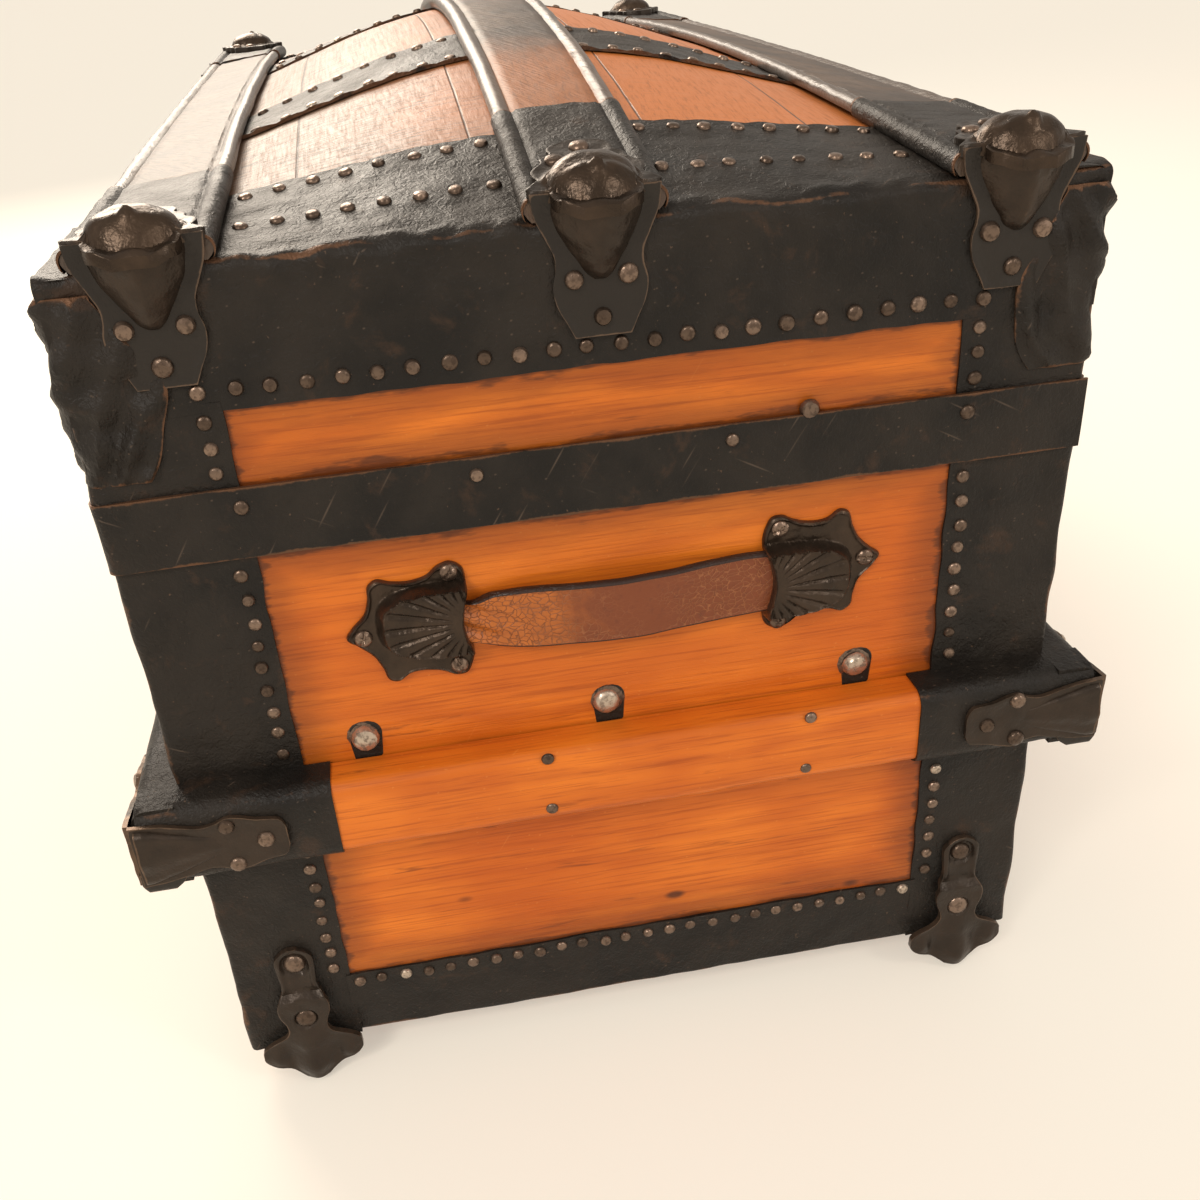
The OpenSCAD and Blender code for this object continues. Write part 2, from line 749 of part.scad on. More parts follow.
// Outline of the plate on top of the slat, in XY with the trunk's end on X = 0
module bumper_top_shape() {
    w = bumper_w / 2;
    polygon([[3, -w], [3, w], [-10, 0.98 * w], [-19, 0.80 * w], [-22, 0.62 * w], [-30, 0.60 * w],
        [-35, 0.44 * w], [-43, 0.40 * w], [-bumper_back, 0.18 * w], [-bumper_back, -0.18 * w],
        [-43, -0.40 * w], [-35, -0.44 * w], [-30, -0.60 * w], [-22, -0.62 * w], [-19, -0.80 * w],
        [-10, -0.98 * w]]);
}

// Outline of the plate on the end of the trunk: X across, Y down from the slat's top
module bumper_end_shape() {
    w = bumper_w / 2;
    side = [[w, 0], [0.97 * w, -0.16 * hang], [0.78 * w, -0.38 * hang], [0.66 * w, -0.52 * hang],
        [0.72 * w, -0.66 * hang], [0.66 * w, -0.84 * hang], [0.44 * w, -hang]];
    polygon(concat(side, [for (i = [len(side) - 1:-1:0]) [-side[i][0], side[i][1]]]));
}

// Rivets on the end plate, as [across, down from the slat's top]
lid_bumper_rivets = [[-13, -38], [13, -38], [0, -55]];
// Rivets on the top plate, as [back from the end, across]
lid_top_rivets = [[-38, 0], [-27, -13]];

// Slope of a slat near the end of the lid, in degrees
function end_slope(y) = atan((crown_z(half_l - bumper_back, y) - crown_z(half_l, y)) / bumper_back);

// The plates on the slat and on the trunk's end, the dome over their bend and the beak under it
module lid_bumper(y) {
    translate([half_l, y, bumper_top + plate_lift]) rotate([0, end_slope(y), 0])
        linear_extrude(plate_t) bumper_top_shape();
    on_end(end_plate_x, y, bumper_top + plate_t) linear_extrude(plate_t) bumper_end_shape();
    hull() {
        intersection() {
            translate([half_l - 4, y, bumper_top + plate_t]) sphere(r = dome_r);
            box(half_l - dome_r - 6, half_l + dome_r, y - dome_r, y + dome_r,
                bumper_top + dome_low, bumper_top + 2 * dome_r);
        }
        translate([end_plate_x, y - 12, bumper_top + 1.5]) cube([2, 24, 5]);
    }
    hull() {
        translate([end_plate_x, y - 18, bumper_top - 2]) cube([11, 36, 7]);
        translate([end_plate_x + 15, y - 8, bumper_top - 1]) cube([4, 16, 4]);
        translate([end_plate_x, y - 7, bumper_top - 31]) cube([5, 14, 2]);
    }
}

module lid_bumpers_right() {
    color(cast_metal) for (y = [-lid_slat_y, 0, lid_slat_y]) lid_bumper(y);
}

module lid_bumpers_left() {
    mirror([1, 0, 0]) lid_bumpers_right();
}

module lid_rivets() {
    color(bronze) both_ends() for (y = [-lid_slat_y, 0, lid_slat_y]) {
        for (r = lid_bumper_rivets)
            on_end(end_plate_x + plate_t, y + r[0], bumper_top + plate_t + r[1]) head(rivet_d, 3);
        for (r = lid_top_rivets) translate([half_l, y, bumper_top + plate_lift])
            rotate([0, end_slope(y), 0]) translate([r[0], r[1], plate_t]) head(rivet_d - 1, 2.5);
    }
}

// ---------- nails of the lid ----------
rim_nail_z = rim_low + 8;
strap_nail_z = strap_top - 9;
strap_nail_in = 62;
strap_nail_side_in = 72;
edge_row_in = 43;
row_in = 6;

// A nail standing on the crown at the place x, y, clear of the flat cells of the sheet under it
module crown_nail(x, y) {
    translate([x, y, crown_z(x, y) + 2 * seat]) rotate([crown_tilt_y(x, y), crown_tilt_x(x, y), 0]) head(nail_d, nail_h);
}

function crown_tilt_x(x, y) = atan((crown_z(x - 1, y) - crown_z(x + 1, y)) / 2);
function crown_tilt_y(x, y) = atan((crown_z(x, y + 1) - crown_z(x, y - 1)) / 2);

// Rows between the slats, as [from, to]
lid_rows = [lid_slat_w / 2 + 8, lid_slat_y - lid_slat_w / 2 - 8];

module lid_nails() {
    color(bronze) both_ends() {
        for (y = nail_row(-column_y, column_y)) on_end(half_l, y, rim_nail_z) head(nail_d, nail_h);
        both_sides() for (z = nail_row(strap_top + row_in, rim_low - row_in)) {
            on_end(half_l, column_y, z) head(nail_d, nail_h);
            translate([column_x, half_w, z]) rotate([-90, 0, 0]) head(nail_d, nail_h);
        }
        for (y = nail_row_wide(half_w - strap_nail_in, 3))
            on_end(strap_out_x, y, strap_nail_z) head(nail_d, nail_h);
        both_sides() for (x = [half_l - edge_row_in, wrap_x + row_in, band_in + row_in, band_out - row_in])
            for (y = nail_row(lid_rows[0], lid_rows[1])) crown_nail(x, y);
    }
    color(bronze) both_sides() {
        for (x = nail_row(-column_x, column_x))
            translate([x, half_w, rim_nail_z]) rotate([-90, 0, 0]) head(nail_d, nail_h);
        for (x = nail_row_wide(half_l - strap_nail_side_in, 5))
            translate([x, strap_out_y, strap_nail_z]) rotate([-90, 0, 0]) head(nail_d, nail_h);
    }
}

// A few nails, n of them, spread from -a to a
function nail_row_wide(a, n) = [for (i = [0:n]) -a + 2 * a * i / n];

// ---------- hinges at the back ----------
leaf_t = 2;
hinge_y = strap_out_y + knuckle_d / 2 + 1;
hinge_z = lid_z - run_gap / 2;
knuckles = 5;
knuckle_l = hinge_l / knuckles;
leaf_h = strap_top - lid_z - 1;
body_leaf_h = 46;
hinge_xs = [-fitting_x, 0, fitting_x];

// Knuckles of one leaf: every second one, from the first or the second
module hinge_knuckles(first) {
    for (k = [first:2:knuckles - 1]) translate([-hinge_l / 2 + k * knuckle_l + run_gap / 2, 0, 0])
        rotate([0, 90, 0]) cylinder(h = knuckle_l - run_gap, d = knuckle_d);
}

module hinge_bore() {
    rotate([0, 90, 0]) cylinder(h = hinge_l + 2, d = pin_d + 2 * bore_gap, center = true);
}

module hinge_body_leaf() {
    difference() {
        union() {
            box(-hinge_l / 2, hinge_l / 2, wood_y, wood_y + leaf_t, joint_z - body_leaf_h, joint_z - 1);
            translate([0, hinge_y, hinge_z]) hinge_knuckles(0);
            for (k = [0:2:knuckles - 1]) translate([-hinge_l / 2 + k * knuckle_l + run_gap / 2, 0, 0])
                box(0, knuckle_l - run_gap, wood_y, hinge_y,
                    hinge_z - knuckle_d / 2, hinge_z - knuckle_d / 2 + leaf_t);
        }
        translate([0, hinge_y, hinge_z]) hinge_bore();
    }
}

module hinge_lid_leaf() {
    difference() {
        union() {
            box(-hinge_l / 2, hinge_l / 2, strap_out_y, strap_out_y + leaf_t,
                lid_z + knuckle_d / 2, lid_z + leaf_h);
            for (k = [1:2:knuckles - 1]) translate([-hinge_l / 2 + k * knuckle_l + run_gap / 2, 0, 0])
                box(0, knuckle_l - run_gap, strap_out_y, hinge_y,
                    hinge_z + knuckle_d / 2 - leaf_t, hinge_z + knuckle_d / 2 + 1);
            translate([0, hinge_y, hinge_z]) hinge_knuckles(1);
        }
        translate([0, hinge_y, hinge_z]) hinge_bore();
    }
}

module hinge_body_leaves() {
    color(cast_metal) for (x = hinge_xs) translate([x, 0, 0]) hinge_body_leaf();
}

module hinge_lid_leaves() {
    color(cast_metal) for (x = hinge_xs) translate([x, 0, 0]) hinge_lid_leaf();
}

pin_head_t = 2;
// A pin along X through knuckles of the given length, with a head at each end
module headed_pin(length, d) {
    rotate([0, 90, 0]) {
        cylinder(h = length + 2 * seat, d = d, center = true);
        for (s = [-1, 1]) translate([0, 0, s * (length / 2 + seat + pin_head_t / 2)])
            cylinder(h = pin_head_t, d = d + 3, center = true);
    }
}

module hinge_pins() {
    color(bronze) for (x = hinge_xs) translate([x, hinge_y, hinge_z]) headed_pin(hinge_l, pin_d);
}

// ---------- lock, hasp and drop catches at the front ----------
catch_pin_d = 4;
catch_knuckle = 8;
catch_z = strap_top - 4;
base_t = 2;
catch_y = -(strap_out_y + base_t + catch_knuckle / 2 + run_gap);
lug_w = 7;

// The base on the lid's strap: a plate with two lugs that hold the pin of a flap of width w
module catch_base(w) {
    difference() {
        union() {
            box(-w / 2 - lug_w, w / 2 + lug_w, -strap_out_y - base_t, -strap_out_y, joint_z + 3, strap_top);
            for (s = [-1, 1]) translate([s * (w / 2 + lug_w / 2 + run_gap / 2), 0, 0]) {
                translate([0, catch_y, catch_z]) rotate([0, 90, 0])
                    cylinder(h = lug_w - run_gap, d = catch_knuckle, center = true);
                box(-lug_w / 2 + run_gap / 2, lug_w / 2 - run_gap / 2, catch_y, -strap_out_y,
                    catch_z - catch_knuckle / 2, catch_z);
            }
        }
        translate([0, catch_y, catch_z]) rotate([0, 90, 0])
            cylinder(h = w + 4 * lug_w, d = catch_pin_d + 2 * bore_gap, center = true);
    }
}

module catch_bases() {
    color(cast_metal) {
        catch_base(hasp_w);
        for (s = [-1, 1]) translate([s * fitting_x, 0, 0]) catch_base(tongue_w);
    }
}

module catch_pins() {
    color(bronze) {
        translate([0, catch_y, catch_z]) headed_pin(hasp_w + 2 * lug_w, catch_pin_d);
        for (s = [-1, 1]) translate([s * fitting_x, catch_y, catch_z])
            headed_pin(tongue_w + 2 * lug_w, catch_pin_d);
    }
}

// A flap on its pin: the barrel round the pin and the plate below it
module flap_barrel(w) {
    translate([0, catch_y, catch_z]) rotate([0, 90, 0])
        cylinder(h = w - 2 * run_gap, d = catch_knuckle, center = true);
}

module flap_bore(w) {
    translate([0, catch_y, catch_z]) rotate([0, 90, 0])
        cylinder(h = w + 2, d = catch_pin_d + 2 * bore_gap, center = true);
}

flap_t = 2.5;
flap_y = catch_y - catch_knuckle / 2;
staple_w = 12;
staple_z = catch_z - 50;
case_t = 6.4;
case_w = 74;
case_top = strap_low - 3;
case_low = catch_z - hasp_l - 14;
notch_w = staple_w + 4;
staple_reach = -wood_y - 1.5;

module hasp() {
    color(cast_metal) difference() {
        union() {
            flap_barrel(hasp_w);
            on_front(0, flap_y + flap_t, catch_z) linear_extrude(flap_t) hasp_shape();
            box(-staple_w / 2, staple_w / 2, flap_y, staple_reach, staple_z - 4, staple_z + 4);
            on_front(0, flap_y, catch_z - 0.52 * hasp_l) hasp_boss();
        }
        flap_bore(hasp_w);
    }
}

// A low round boss on the hasp's face
module hasp_boss() {
    cylinder(h = 3, d1 = 0.62 * hasp_w, d2 = 0.45 * hasp_w);
}

module hasp_shape() {
    w = hasp_w / 2 - run_gap;
    polygon([[-w, 0], [w, 0], [0.96 * w, -0.30 * hasp_l], [0.70 * w, -0.42 * hasp_l],
        [0.86 * w, -0.60 * hasp_l], [0.60 * w, -0.86 * hasp_l], [0.18 * w, -hasp_l],
        [-0.18 * w, -hasp_l], [-0.60 * w, -0.86 * hasp_l], [-0.86 * w, -0.60 * hasp_l],
        [-0.70 * w, -0.42 * hasp_l], [-0.96 * w, -0.30 * hasp_l]]);
}

// The lock's case on the front board, with a notch, open at the top, for the hasp's staple
module lock_case() {
    color(cast_metal) difference() {
        on_front(0, -wood_y, 0) linear_extrude(case_t) polygon([
            [-case_w / 2, case_top], [-case_w / 2, case_low + 20], [-case_w / 2 + 14, case_low],
            [case_w / 2 - 14, case_low], [case_w / 2, case_low + 20], [case_w / 2, case_top]]);
        box(-notch_w / 2, notch_w / 2, -wood_y - case_t - 1, -wood_y - 1, staple_z - 10, case_top + 1);
    }
}

// A body catch: a plate with a cheek on each side of the tongue
module catch_plate() {
    w = tongue_w / 2 + run_gap;
    z0 = catch_z - tongue_l - 8;
    box(-w - 7, w + 7, -wood_y - base_t, -wood_y, z0, case_top);
    for (s = [-1, 1]) box(s > 0 ? w : -w - 4, s > 0 ? w + 4 : -w,
        flap_y - flap_t, -wood_y - base_t + eps, z0 + 6, case_top - 8);
}

module catch_plates() {
    color(cast_metal) for (s = [-1, 1]) translate([s * fitting_x, 0, 0]) catch_plate();
}

module tongue() {
    w = tongue_w / 2 - run_gap;
    color(cast_metal) difference() {
        union() {
            flap_barrel(tongue_w);
            on_front(0, flap_y + flap_t, catch_z) linear_extrude(flap_t) polygon([
                [-w, 0], [w, 0], [w, -tongue_l + 14], [0.55 * w, -tongue_l], [-0.55 * w, -tongue_l],
                [-w, -tongue_l + 14]]);
            on_front(0, flap_y, catch_z - tongue_l + 13) cylinder(h = 5, d1 = 14, d2 = 9);
        }
        flap_bore(tongue_w);
    }
}

module right_tongue() {
    translate([fitting_x, 0, 0]) tongue();
}

module left_tongue() {
    translate([-fitting_x, 0, 0]) tongue();
}

bottom_board();
bottom_slats();
front_board();
back_board();
right_end_board();
left_end_board();
body_corner_metal();
foot_metal();
front_slat();
back_slat();
right_end_slat();
left_end_slat();
end_slat_sleeves();
side_slat_sleeves();
slat_bumper_right_front();
slat_bumper_right_back();
slat_bumper_left_front();
slat_bumper_left_back();
right_handle_caps();
left_handle_caps();
right_handle_leather();
left_handle_leather();
handle_screws();
end_bolts();
body_nails();
slat_rivets();
caster_brackets();
roller_axles();
roller_right_front();
roller_right_back();
roller_left_front();
roller_left_back();
lock_case();
catch_plates();
hinge_body_leaves();
hinge_pins();
lid_front_board();
lid_back_board();
lid_right_board();
lid_left_board();
lid_top_board();
lid_corner_metal();
lid_end_metal();
lid_side_metal();
lid_bands();
lid_strap();
lid_centre_slat();
lid_front_slat();
lid_back_slat();
lid_slat_sleeves();
lid_bumpers_right();
lid_bumpers_left();
lid_nails();
lid_rivets();
hinge_lid_leaves();
catch_bases();
catch_pins();
hasp();
right_tongue();
left_tongue();
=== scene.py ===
import math

import bmesh
import bpy
import numpy as np
from mathutils import Matrix, Vector


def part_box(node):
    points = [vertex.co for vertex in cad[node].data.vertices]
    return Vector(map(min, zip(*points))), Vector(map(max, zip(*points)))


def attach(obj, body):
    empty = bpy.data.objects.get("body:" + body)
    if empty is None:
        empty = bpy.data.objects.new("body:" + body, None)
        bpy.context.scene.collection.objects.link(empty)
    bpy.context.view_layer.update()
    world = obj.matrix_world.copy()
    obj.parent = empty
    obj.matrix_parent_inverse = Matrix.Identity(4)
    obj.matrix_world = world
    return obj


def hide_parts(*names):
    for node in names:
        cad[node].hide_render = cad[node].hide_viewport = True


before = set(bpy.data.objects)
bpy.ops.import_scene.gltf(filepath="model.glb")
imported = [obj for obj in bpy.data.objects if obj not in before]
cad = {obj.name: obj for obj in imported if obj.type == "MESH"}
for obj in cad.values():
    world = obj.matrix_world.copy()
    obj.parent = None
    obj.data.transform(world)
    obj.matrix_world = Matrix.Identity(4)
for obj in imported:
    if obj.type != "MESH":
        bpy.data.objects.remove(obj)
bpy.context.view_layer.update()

# Sizes are in millimetres in the trunk's own frame, and become metres when a mesh is made.
MM = 0.001


def cad_corner(node, end):
    """One corner of a CAD node's box, in millimetres: end 0 is the lowest, end 1 the highest."""
    return np.array(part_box(node)[end]) / MM


def cad_middle(node):
    """The middle of a CAD node's box, in millimetres."""
    return (cad_corner(node, 0) + cad_corner(node, 1)) / 2


# ---------- places and sizes taken from the frame ----------
HALF_L, HALF_W, JOINT_Z = cad_corner("body_corner_metal", 1)
FOOT_Z = cad_corner("body_corner_metal", 0)[2]
WOOD_X = cad_corner("right_end_board", 1)[0]
WOOD_Y = cad_corner("back_board", 1)[1]
LID_Z = cad_corner("lid_corner_metal", 0)[2]
RIM_Z = cad_corner("lid_end_metal", 0)[2]
STRAP_LOW, STRAP_HIGH = cad_corner("lid_strap", 0)[2], cad_corner("lid_strap", 1)[2]
SLAT_Z = cad_middle("right_end_slat")[2]
HANDLE_Z = cad_middle("right_handle_leather")[2]
ROLLER_X, ROLLER_Y, AXLE_Z = cad_middle("roller_right_back")

# ---------- sizes of the pieces ----------
METAL = 1.2                     # the sheets
PLATE = 2.5                     # the plates of the castings
CROWN_EDGE = 10.2               # from the lid's walls up to the edge of the crown
CROWN_RISE = 58                 # from that edge up to the crown's middle
CROWN_POWER = 1.6               # how far the crown's section is drawn in from a cosine
LID_TOP = cad_corner("lid_front_board", 1)[2] + CROWN_EDGE
CORNER_W = 65                   # each leg of a corner sheet
CORNER_R, FOOT_R = 2.6, 2.2     # the bends of the corner and foot sheets
FOOT_H, FOOT_UNDER = 47, 24     # the foot sheets' legs, up the wall and under the bottom
FOOT_LAP = 2                    # how far a foot sheet runs under a corner sheet
END_WRAP, SIDE_WRAP = 98, 36    # how far the lid's sheets run in over the crown
END_R, SIDE_R, FOLD_R = 5.0, 6.0, 5.5    # the bends of the lid's sheets and of its corner folds
WRAP_X, WRAP_Y = HALF_L - END_WRAP, HALF_W - SIDE_WRAP
BAND_X, BAND_W = 161, 68        # the middle and the width of a band over the crown
STRAP_OUT, STRAP_T = 2.0, 1.4   # how far the strap stands off the walls, and its sheet
SLAT_H, SLAT_T, SLAT_EDGE = 46, 22, 8    # a body slat's height, thickness and rounding
END_SLAT_L, SIDE_SLAT_L = HALF_W - 75, HALF_L - 90    # half lengths of the body slats' wood
SLEEVE_T, SLEEVE_OUT = 1.4, 20  # a sleeve's growth over its slat, and how far it passes the wall
LID_SLAT_W, LID_SLAT_Y = 63, 195    # a lid slat's width, and how far out the outer two lie
LID_SLAT_BED = 0.6              # from the crown up to a lid slat
NAIL_PITCH, FOOT_PITCH = 16, 13.5    # from nail to nail, and more closely along the foot
COLUMN_X, COLUMN_Y = HALF_L - CORNER_W + 8, HALF_W - CORNER_W + 8    # the columns of nails

# Heads, as radius and height
NAIL, RIM_NAIL, SLAT_NAIL = (3.6, 1.8), (3.9, 2.0), (3.4, 1.6)
STRAP_NAIL, STRAP_STUD = (3.8, 1.8), (4.8, 2.6)
BOLT, WASHER, CASTER_BOLT = (7.6, 4.4), (9.6, 1.3), (6.6, 3.4)
BUMPER_RIVET, PROW_RIVET, LOBE_RIVET = (4.8, 2.6), (4.7, 2.4), (4.6, 2.4)

CORNERS = ((1, 1), (1, -1), (-1, 1), (-1, -1))
END, SIDE = 0, 1                # the walls that face along X and along Y


# ---------- shapes: arrays of points, faces and marks ----------
def shape(points, faces, edge=0.0, tint=0.0):
    """A shape: its points, its four-cornered faces, how near each point is to a worn edge (1 is on it),
    and a tint from 0 to 1 that its material may read."""
    points = np.asarray(points, float).reshape(-1, 3)
    mark = lambda v: np.broadcast_to(np.asarray(v, float).reshape(-1), (len(points),)).copy()
    return {"p": points, "f": np.asarray(faces, int).reshape(-1, 4), "edge": mark(edge), "tint": mark(tint)}


def joined(shapes):
    """Several shapes as one: their arrays end to end, each one's faces counted on from the last."""
    starts = np.cumsum([0] + [len(s["p"]) for s in shapes[:-1]])
    whole = {key: np.concatenate([s[key] for s in shapes]) for key in ("p", "edge", "tint")}
    return {**whole, "f": np.concatenate([s["f"] + n for s, n in zip(shapes, starts)])}


def moved(s, function):
    """The shape with its points taken through a function of (u, v, w) columns."""
    return {**s, "p": np.stack(function(*s["p"].T), -1)}


def mirror(s, axis):
    """The shape's mirror image across the plane where the given coordinate is 0."""
    p = s["p"].copy()
    p[:, axis] *= -1
    return {**s, "p": p}


def at_corner(shapes, corner):
    """Shapes made for the corner at +X +Y, mirrored to the corner whose signs are given."""
    for axis, side in enumerate(corner):
        if side < 0:
            shapes = [mirror(s, axis) for s in shapes]
    return shapes


def both_ends(shapes):
    """The shapes and their mirror images at the other end."""
    return shapes + at_corner(shapes, (-1, 1))


def on_end(s, y, z, x):
    """A shape drawn across, up and outwards, put on the +X end at y, z."""
    return moved(s, lambda u, v, w: (x + w, y + u, z + v))


def on_front(s, x, z, y):
    """The same on the front, where outwards is -Y and the face is at -y."""
    return moved(s, lambda u, v, w: (x + u, -y - w, z + v))


def on_back(s, x, z, y):
    """The same on the back, where outwards is +Y."""
    return moved(s, lambda u, v, w: (x - u, y + w, z + v))


def steps(a, b, size):
    """Values from a to b, about size apart."""
    return np.linspace(a, b, max(2, int(round(abs(b - a) / size)) + 1))


def through(t, knots, values):
    """A smooth curve through values at the knots: cubic pieces whose slopes come from the neighbours."""
    k, v = np.asarray(knots, float), np.asarray(values, float)
    slope = np.gradient(v, k)
    i = np.clip(np.searchsorted(k, t, side="right") - 1, 0, len(k) - 2)
    h = k[i + 1] - k[i]
    f = np.clip((t - k[i]) / h, 0, 1)
    a, b = 2 * f**3 - 3 * f**2 + 1, f**3 - 2 * f**2 + f
    c, d = -2 * f**3 + 3 * f**2, f**3 - f**2
    return a * v[i] + b * h * slope[i] + c * v[i + 1] + d * h * slope[i + 1]


def smooth_step(t, a, b):
    """0 below a, 1 above b, and a smooth rise between them."""
    f = np.clip((t - a) / (b - a), 0, 1)
    return f * f * (3 - 2 * f)


def bell(t, middle, width):
    """A bump of height 1 at the middle that dies away over the width."""
    return np.exp(-((t - middle) / width) ** 2)


def rounded(v, start, length):
    """A factor that draws a half width in to a round end: a quarter circle of the length from start."""
    return np.sqrt(1 - np.clip((v - start) / length, 0, 1) ** 2)


def lumps(x, y, z, size, seed):
    """Smooth unevenness between about -1 and 1: a sum of sine waves of about the given length, in mm,
    in random directions. The same seed gives the same lumps."""
    r = np.random.default_rng(seed)
    waves, spread = 14, 5.3
    d = r.normal(size=(waves, 3))
    d *= (2 * np.pi / (size * r.uniform(0.7, 1.6, waves)) / np.linalg.norm(d, axis=1))[:, None]
    phase = r.uniform(0, 2 * np.pi, waves)
    p = np.stack(np.broadcast_arrays(x, y, z), -1)
    return np.sin(p @ d.T + phase).sum(-1) / spread


def dents(x, y, z, seed, *waves):
    """Knocks of several lengths, added up. Each wave is its depth and its length."""
    return sum(depth * lumps(x, y, z, size, seed + k) for k, (depth, size) in enumerate(waves))


def wavy(at, size, depth, seed):
    """A small waviness along an edge."""
    return depth * lumps(at, 0 * at, 0 * at, size, seed)


def scallops(at):
    """An edge drawn in from 1 to 0 at each nail: the size of a sine that turns over at every pitch."""
    return np.abs(np.sin(np.pi * at / NAIL_PITCH))


def near(*distances, reach=3.0):
    """How near a point is to the nearest of several edges: 1 on it, dying away over the reach."""
    return np.exp(-np.minimum.reduce(np.broadcast_arrays(*distances)) / reach)


def uvw(u, v, w):
    """Three grids as one grid of points."""
    return np.stack(np.broadcast_arrays(u, v, w), -1)


def cells(nu, nv, loop_v=False):
    """The four-cornered faces of a grid of nu by nv points, closed in v if loop_v."""
    i, j = np.meshgrid(np.arange(nu - 1), np.arange(nv if loop_v else nv - 1), indexing="ij")
    k = (j + 1) % nv
    return np.stack([i * nv + j, (i + 1) * nv + j, (i + 1) * nv + k, i * nv + k], -1).reshape(-1, 4)


def slab(top, under, edge=0.0, tint=0.0):
    """A closed plate between an upper and a lower grid of points, with a wall round its border."""
    nu, nv = top.shape[:2]
    n = nu * nv
    i, j = np.arange(nu), np.arange(nv)
    loop = np.concatenate([i[:-1] * nv, (nu - 1) * nv + j[:-1], i[:0:-1] * nv + nv - 1, j[:0:-1]])
    after = np.roll(loop, -1)
    walls = np.stack([loop, after, after + n, loop + n], -1)
    quads = cells(nu, nv)
    both = lambda v: np.tile(np.broadcast_to(v, (nu, nv)).reshape(-1), 2)
    return shape(np.concatenate([top.reshape(-1, 3), under.reshape(-1, 3)]),
                 np.concatenate([quads, quads[:, ::-1] + n, walls]), both(edge), both(tint))


def loft(rings, edge=0.0, tint=0.0):
    """A closed body through closed rings of points. Each end closes on its ring's middle."""
    m = rings.shape[1]
    middles = rings.mean(1, keepdims=True)
    rings = np.concatenate([middles[:1].repeat(m, 1), rings, middles[-1:].repeat(m, 1)])
    spread = lambda v: np.broadcast_to(v, (len(rings) - 2, m))
    grow = lambda v: np.concatenate([spread(v)[:1], spread(v), spread(v)[-1:]])
    return shape(rings, cells(len(rings), m, loop_v=True), grow(edge), grow(tint))


# ---------- making the pieces ----------
SAME_POINT, SAME_LINE = 0.02 * MM, 0.005 * MM


def piece(name, shapes, material, body, stands_for=(), sharp=38):
    """One object from shapes: doubles merged, faces turned outwards, edges above the angle kept sharp."""
    s = joined(shapes)
    mesh = bpy.data.meshes.new(name)
    mesh.from_pydata((s["p"] * MM).tolist(), [], s["f"].tolist())
    for mark in ("edge", "tint"):
        mesh.attributes.new(mark, "FLOAT", "POINT").data.foreach_set("value", s[mark].astype(np.float32))
    work = bmesh.new()
    work.from_mesh(mesh)
    bmesh.ops.remove_doubles(work, verts=work.verts, dist=SAME_POINT)
    bmesh.ops.dissolve_degenerate(work, edges=work.edges, dist=SAME_LINE)
    bmesh.ops.recalc_face_normals(work, faces=work.faces)
    work.to_mesh(mesh)
    work.free()
    mesh.shade_smooth()
    mesh.set_sharp_from_angle(angle=math.radians(sharp))
    mesh.materials.append(material)
    o = bpy.data.objects.new(name, mesh)
    bpy.context.scene.collection.objects.link(o)
    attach(o, body)
    if stands_for:
        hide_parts(*stands_for)


def dress(material, *nodes):
    """Gives CAD nodes a finished material."""
    for n in nodes:
        mesh = cad[n].data
        mesh.materials.clear()
        mesh.materials.append(material)


# ---------- camera, floor and light ----------
# The camera's place in mm, and its right, down and forward directions
CAMERA_AT = (976.6, -92.7, 613.05)
CAMERA_AXES = ((0.16002, 0.98454, -0.07116), (0.49575, -0.1425, -0.8567), (-0.8536, 0.10181, -0.51089))
SENSOR_W = 36
FOCAL_PX, FRAME_PX = 1232.8, 1200
MIDDLE_PX = (567.07, 629.36)    # where the camera's own axis meets the frame

CREAM = (1.0, 0.918, 0.79, 1)   # the room that is seen
MIRRORED_CREAM, ROOM_LIGHT = (1.0, 0.90, 0.79, 1), (1.0, 0.95, 0.88, 1)
FLOOR_CREAM, FLOOR_GLOW, FLOOR_HALF = (0.97, 0.9, 0.79, 1), 0.42, 30
LAMP_WHITE, LAMP_AMBER = (1, 0.95, 0.88), (1, 0.88, 0.74)


def make_camera():
    """A camera whose view is the photograph's."""
    data = bpy.data.cameras.new("camera")
    data.sensor_width = SENSOR_W
    data.lens = SENSOR_W * FOCAL_PX / FRAME_PX
    data.shift_x = (FRAME_PX / 2 - MIDDLE_PX[0]) / FRAME_PX
    data.shift_y = (MIDDLE_PX[1] - FRAME_PX / 2) / FRAME_PX
    data.clip_start, data.clip_end = 0.05, 100
    o = bpy.data.objects.new("camera", data)
    right, down, forward = (Vector(a) for a in CAMERA_AXES)
    m = Matrix((right, -down, -forward)).transposed().to_4x4()
    m.translation = Vector(CAMERA_AT) * MM
    o.matrix_world = m
    bpy.context.scene.collection.objects.link(o)
    bpy.context.scene.camera = o


def make_world():
    """A cream room for what is seen and mirrored, and a warm white light on everything else."""
    world = bpy.data.worlds.new("room")
    bpy.context.scene.world = world
    world.use_nodes = True
    t = Tree(world.node_tree)
    path = t.add("LightPath")
    seen = t.math("MAXIMUM", path["Is Camera Ray"], path["Is Transmission Ray"])
    room = t.add("Background", Color=CREAM, Strength=1.0)
    mirrored = t.add("Background", Color=MIRRORED_CREAM, Strength=0.75)
    light = t.add("Background", Color=ROOM_LIGHT, Strength=0.66)
    lit = t.add("MixShader", {0: path["Is Glossy Ray"], 1: light["Background"], 2: mirrored["Background"]})
    both = t.add("MixShader", {0: seen, 1: lit["Shader"], 2: room["Background"]})
    t.add("OutputWorld", Surface=both["Shader"])


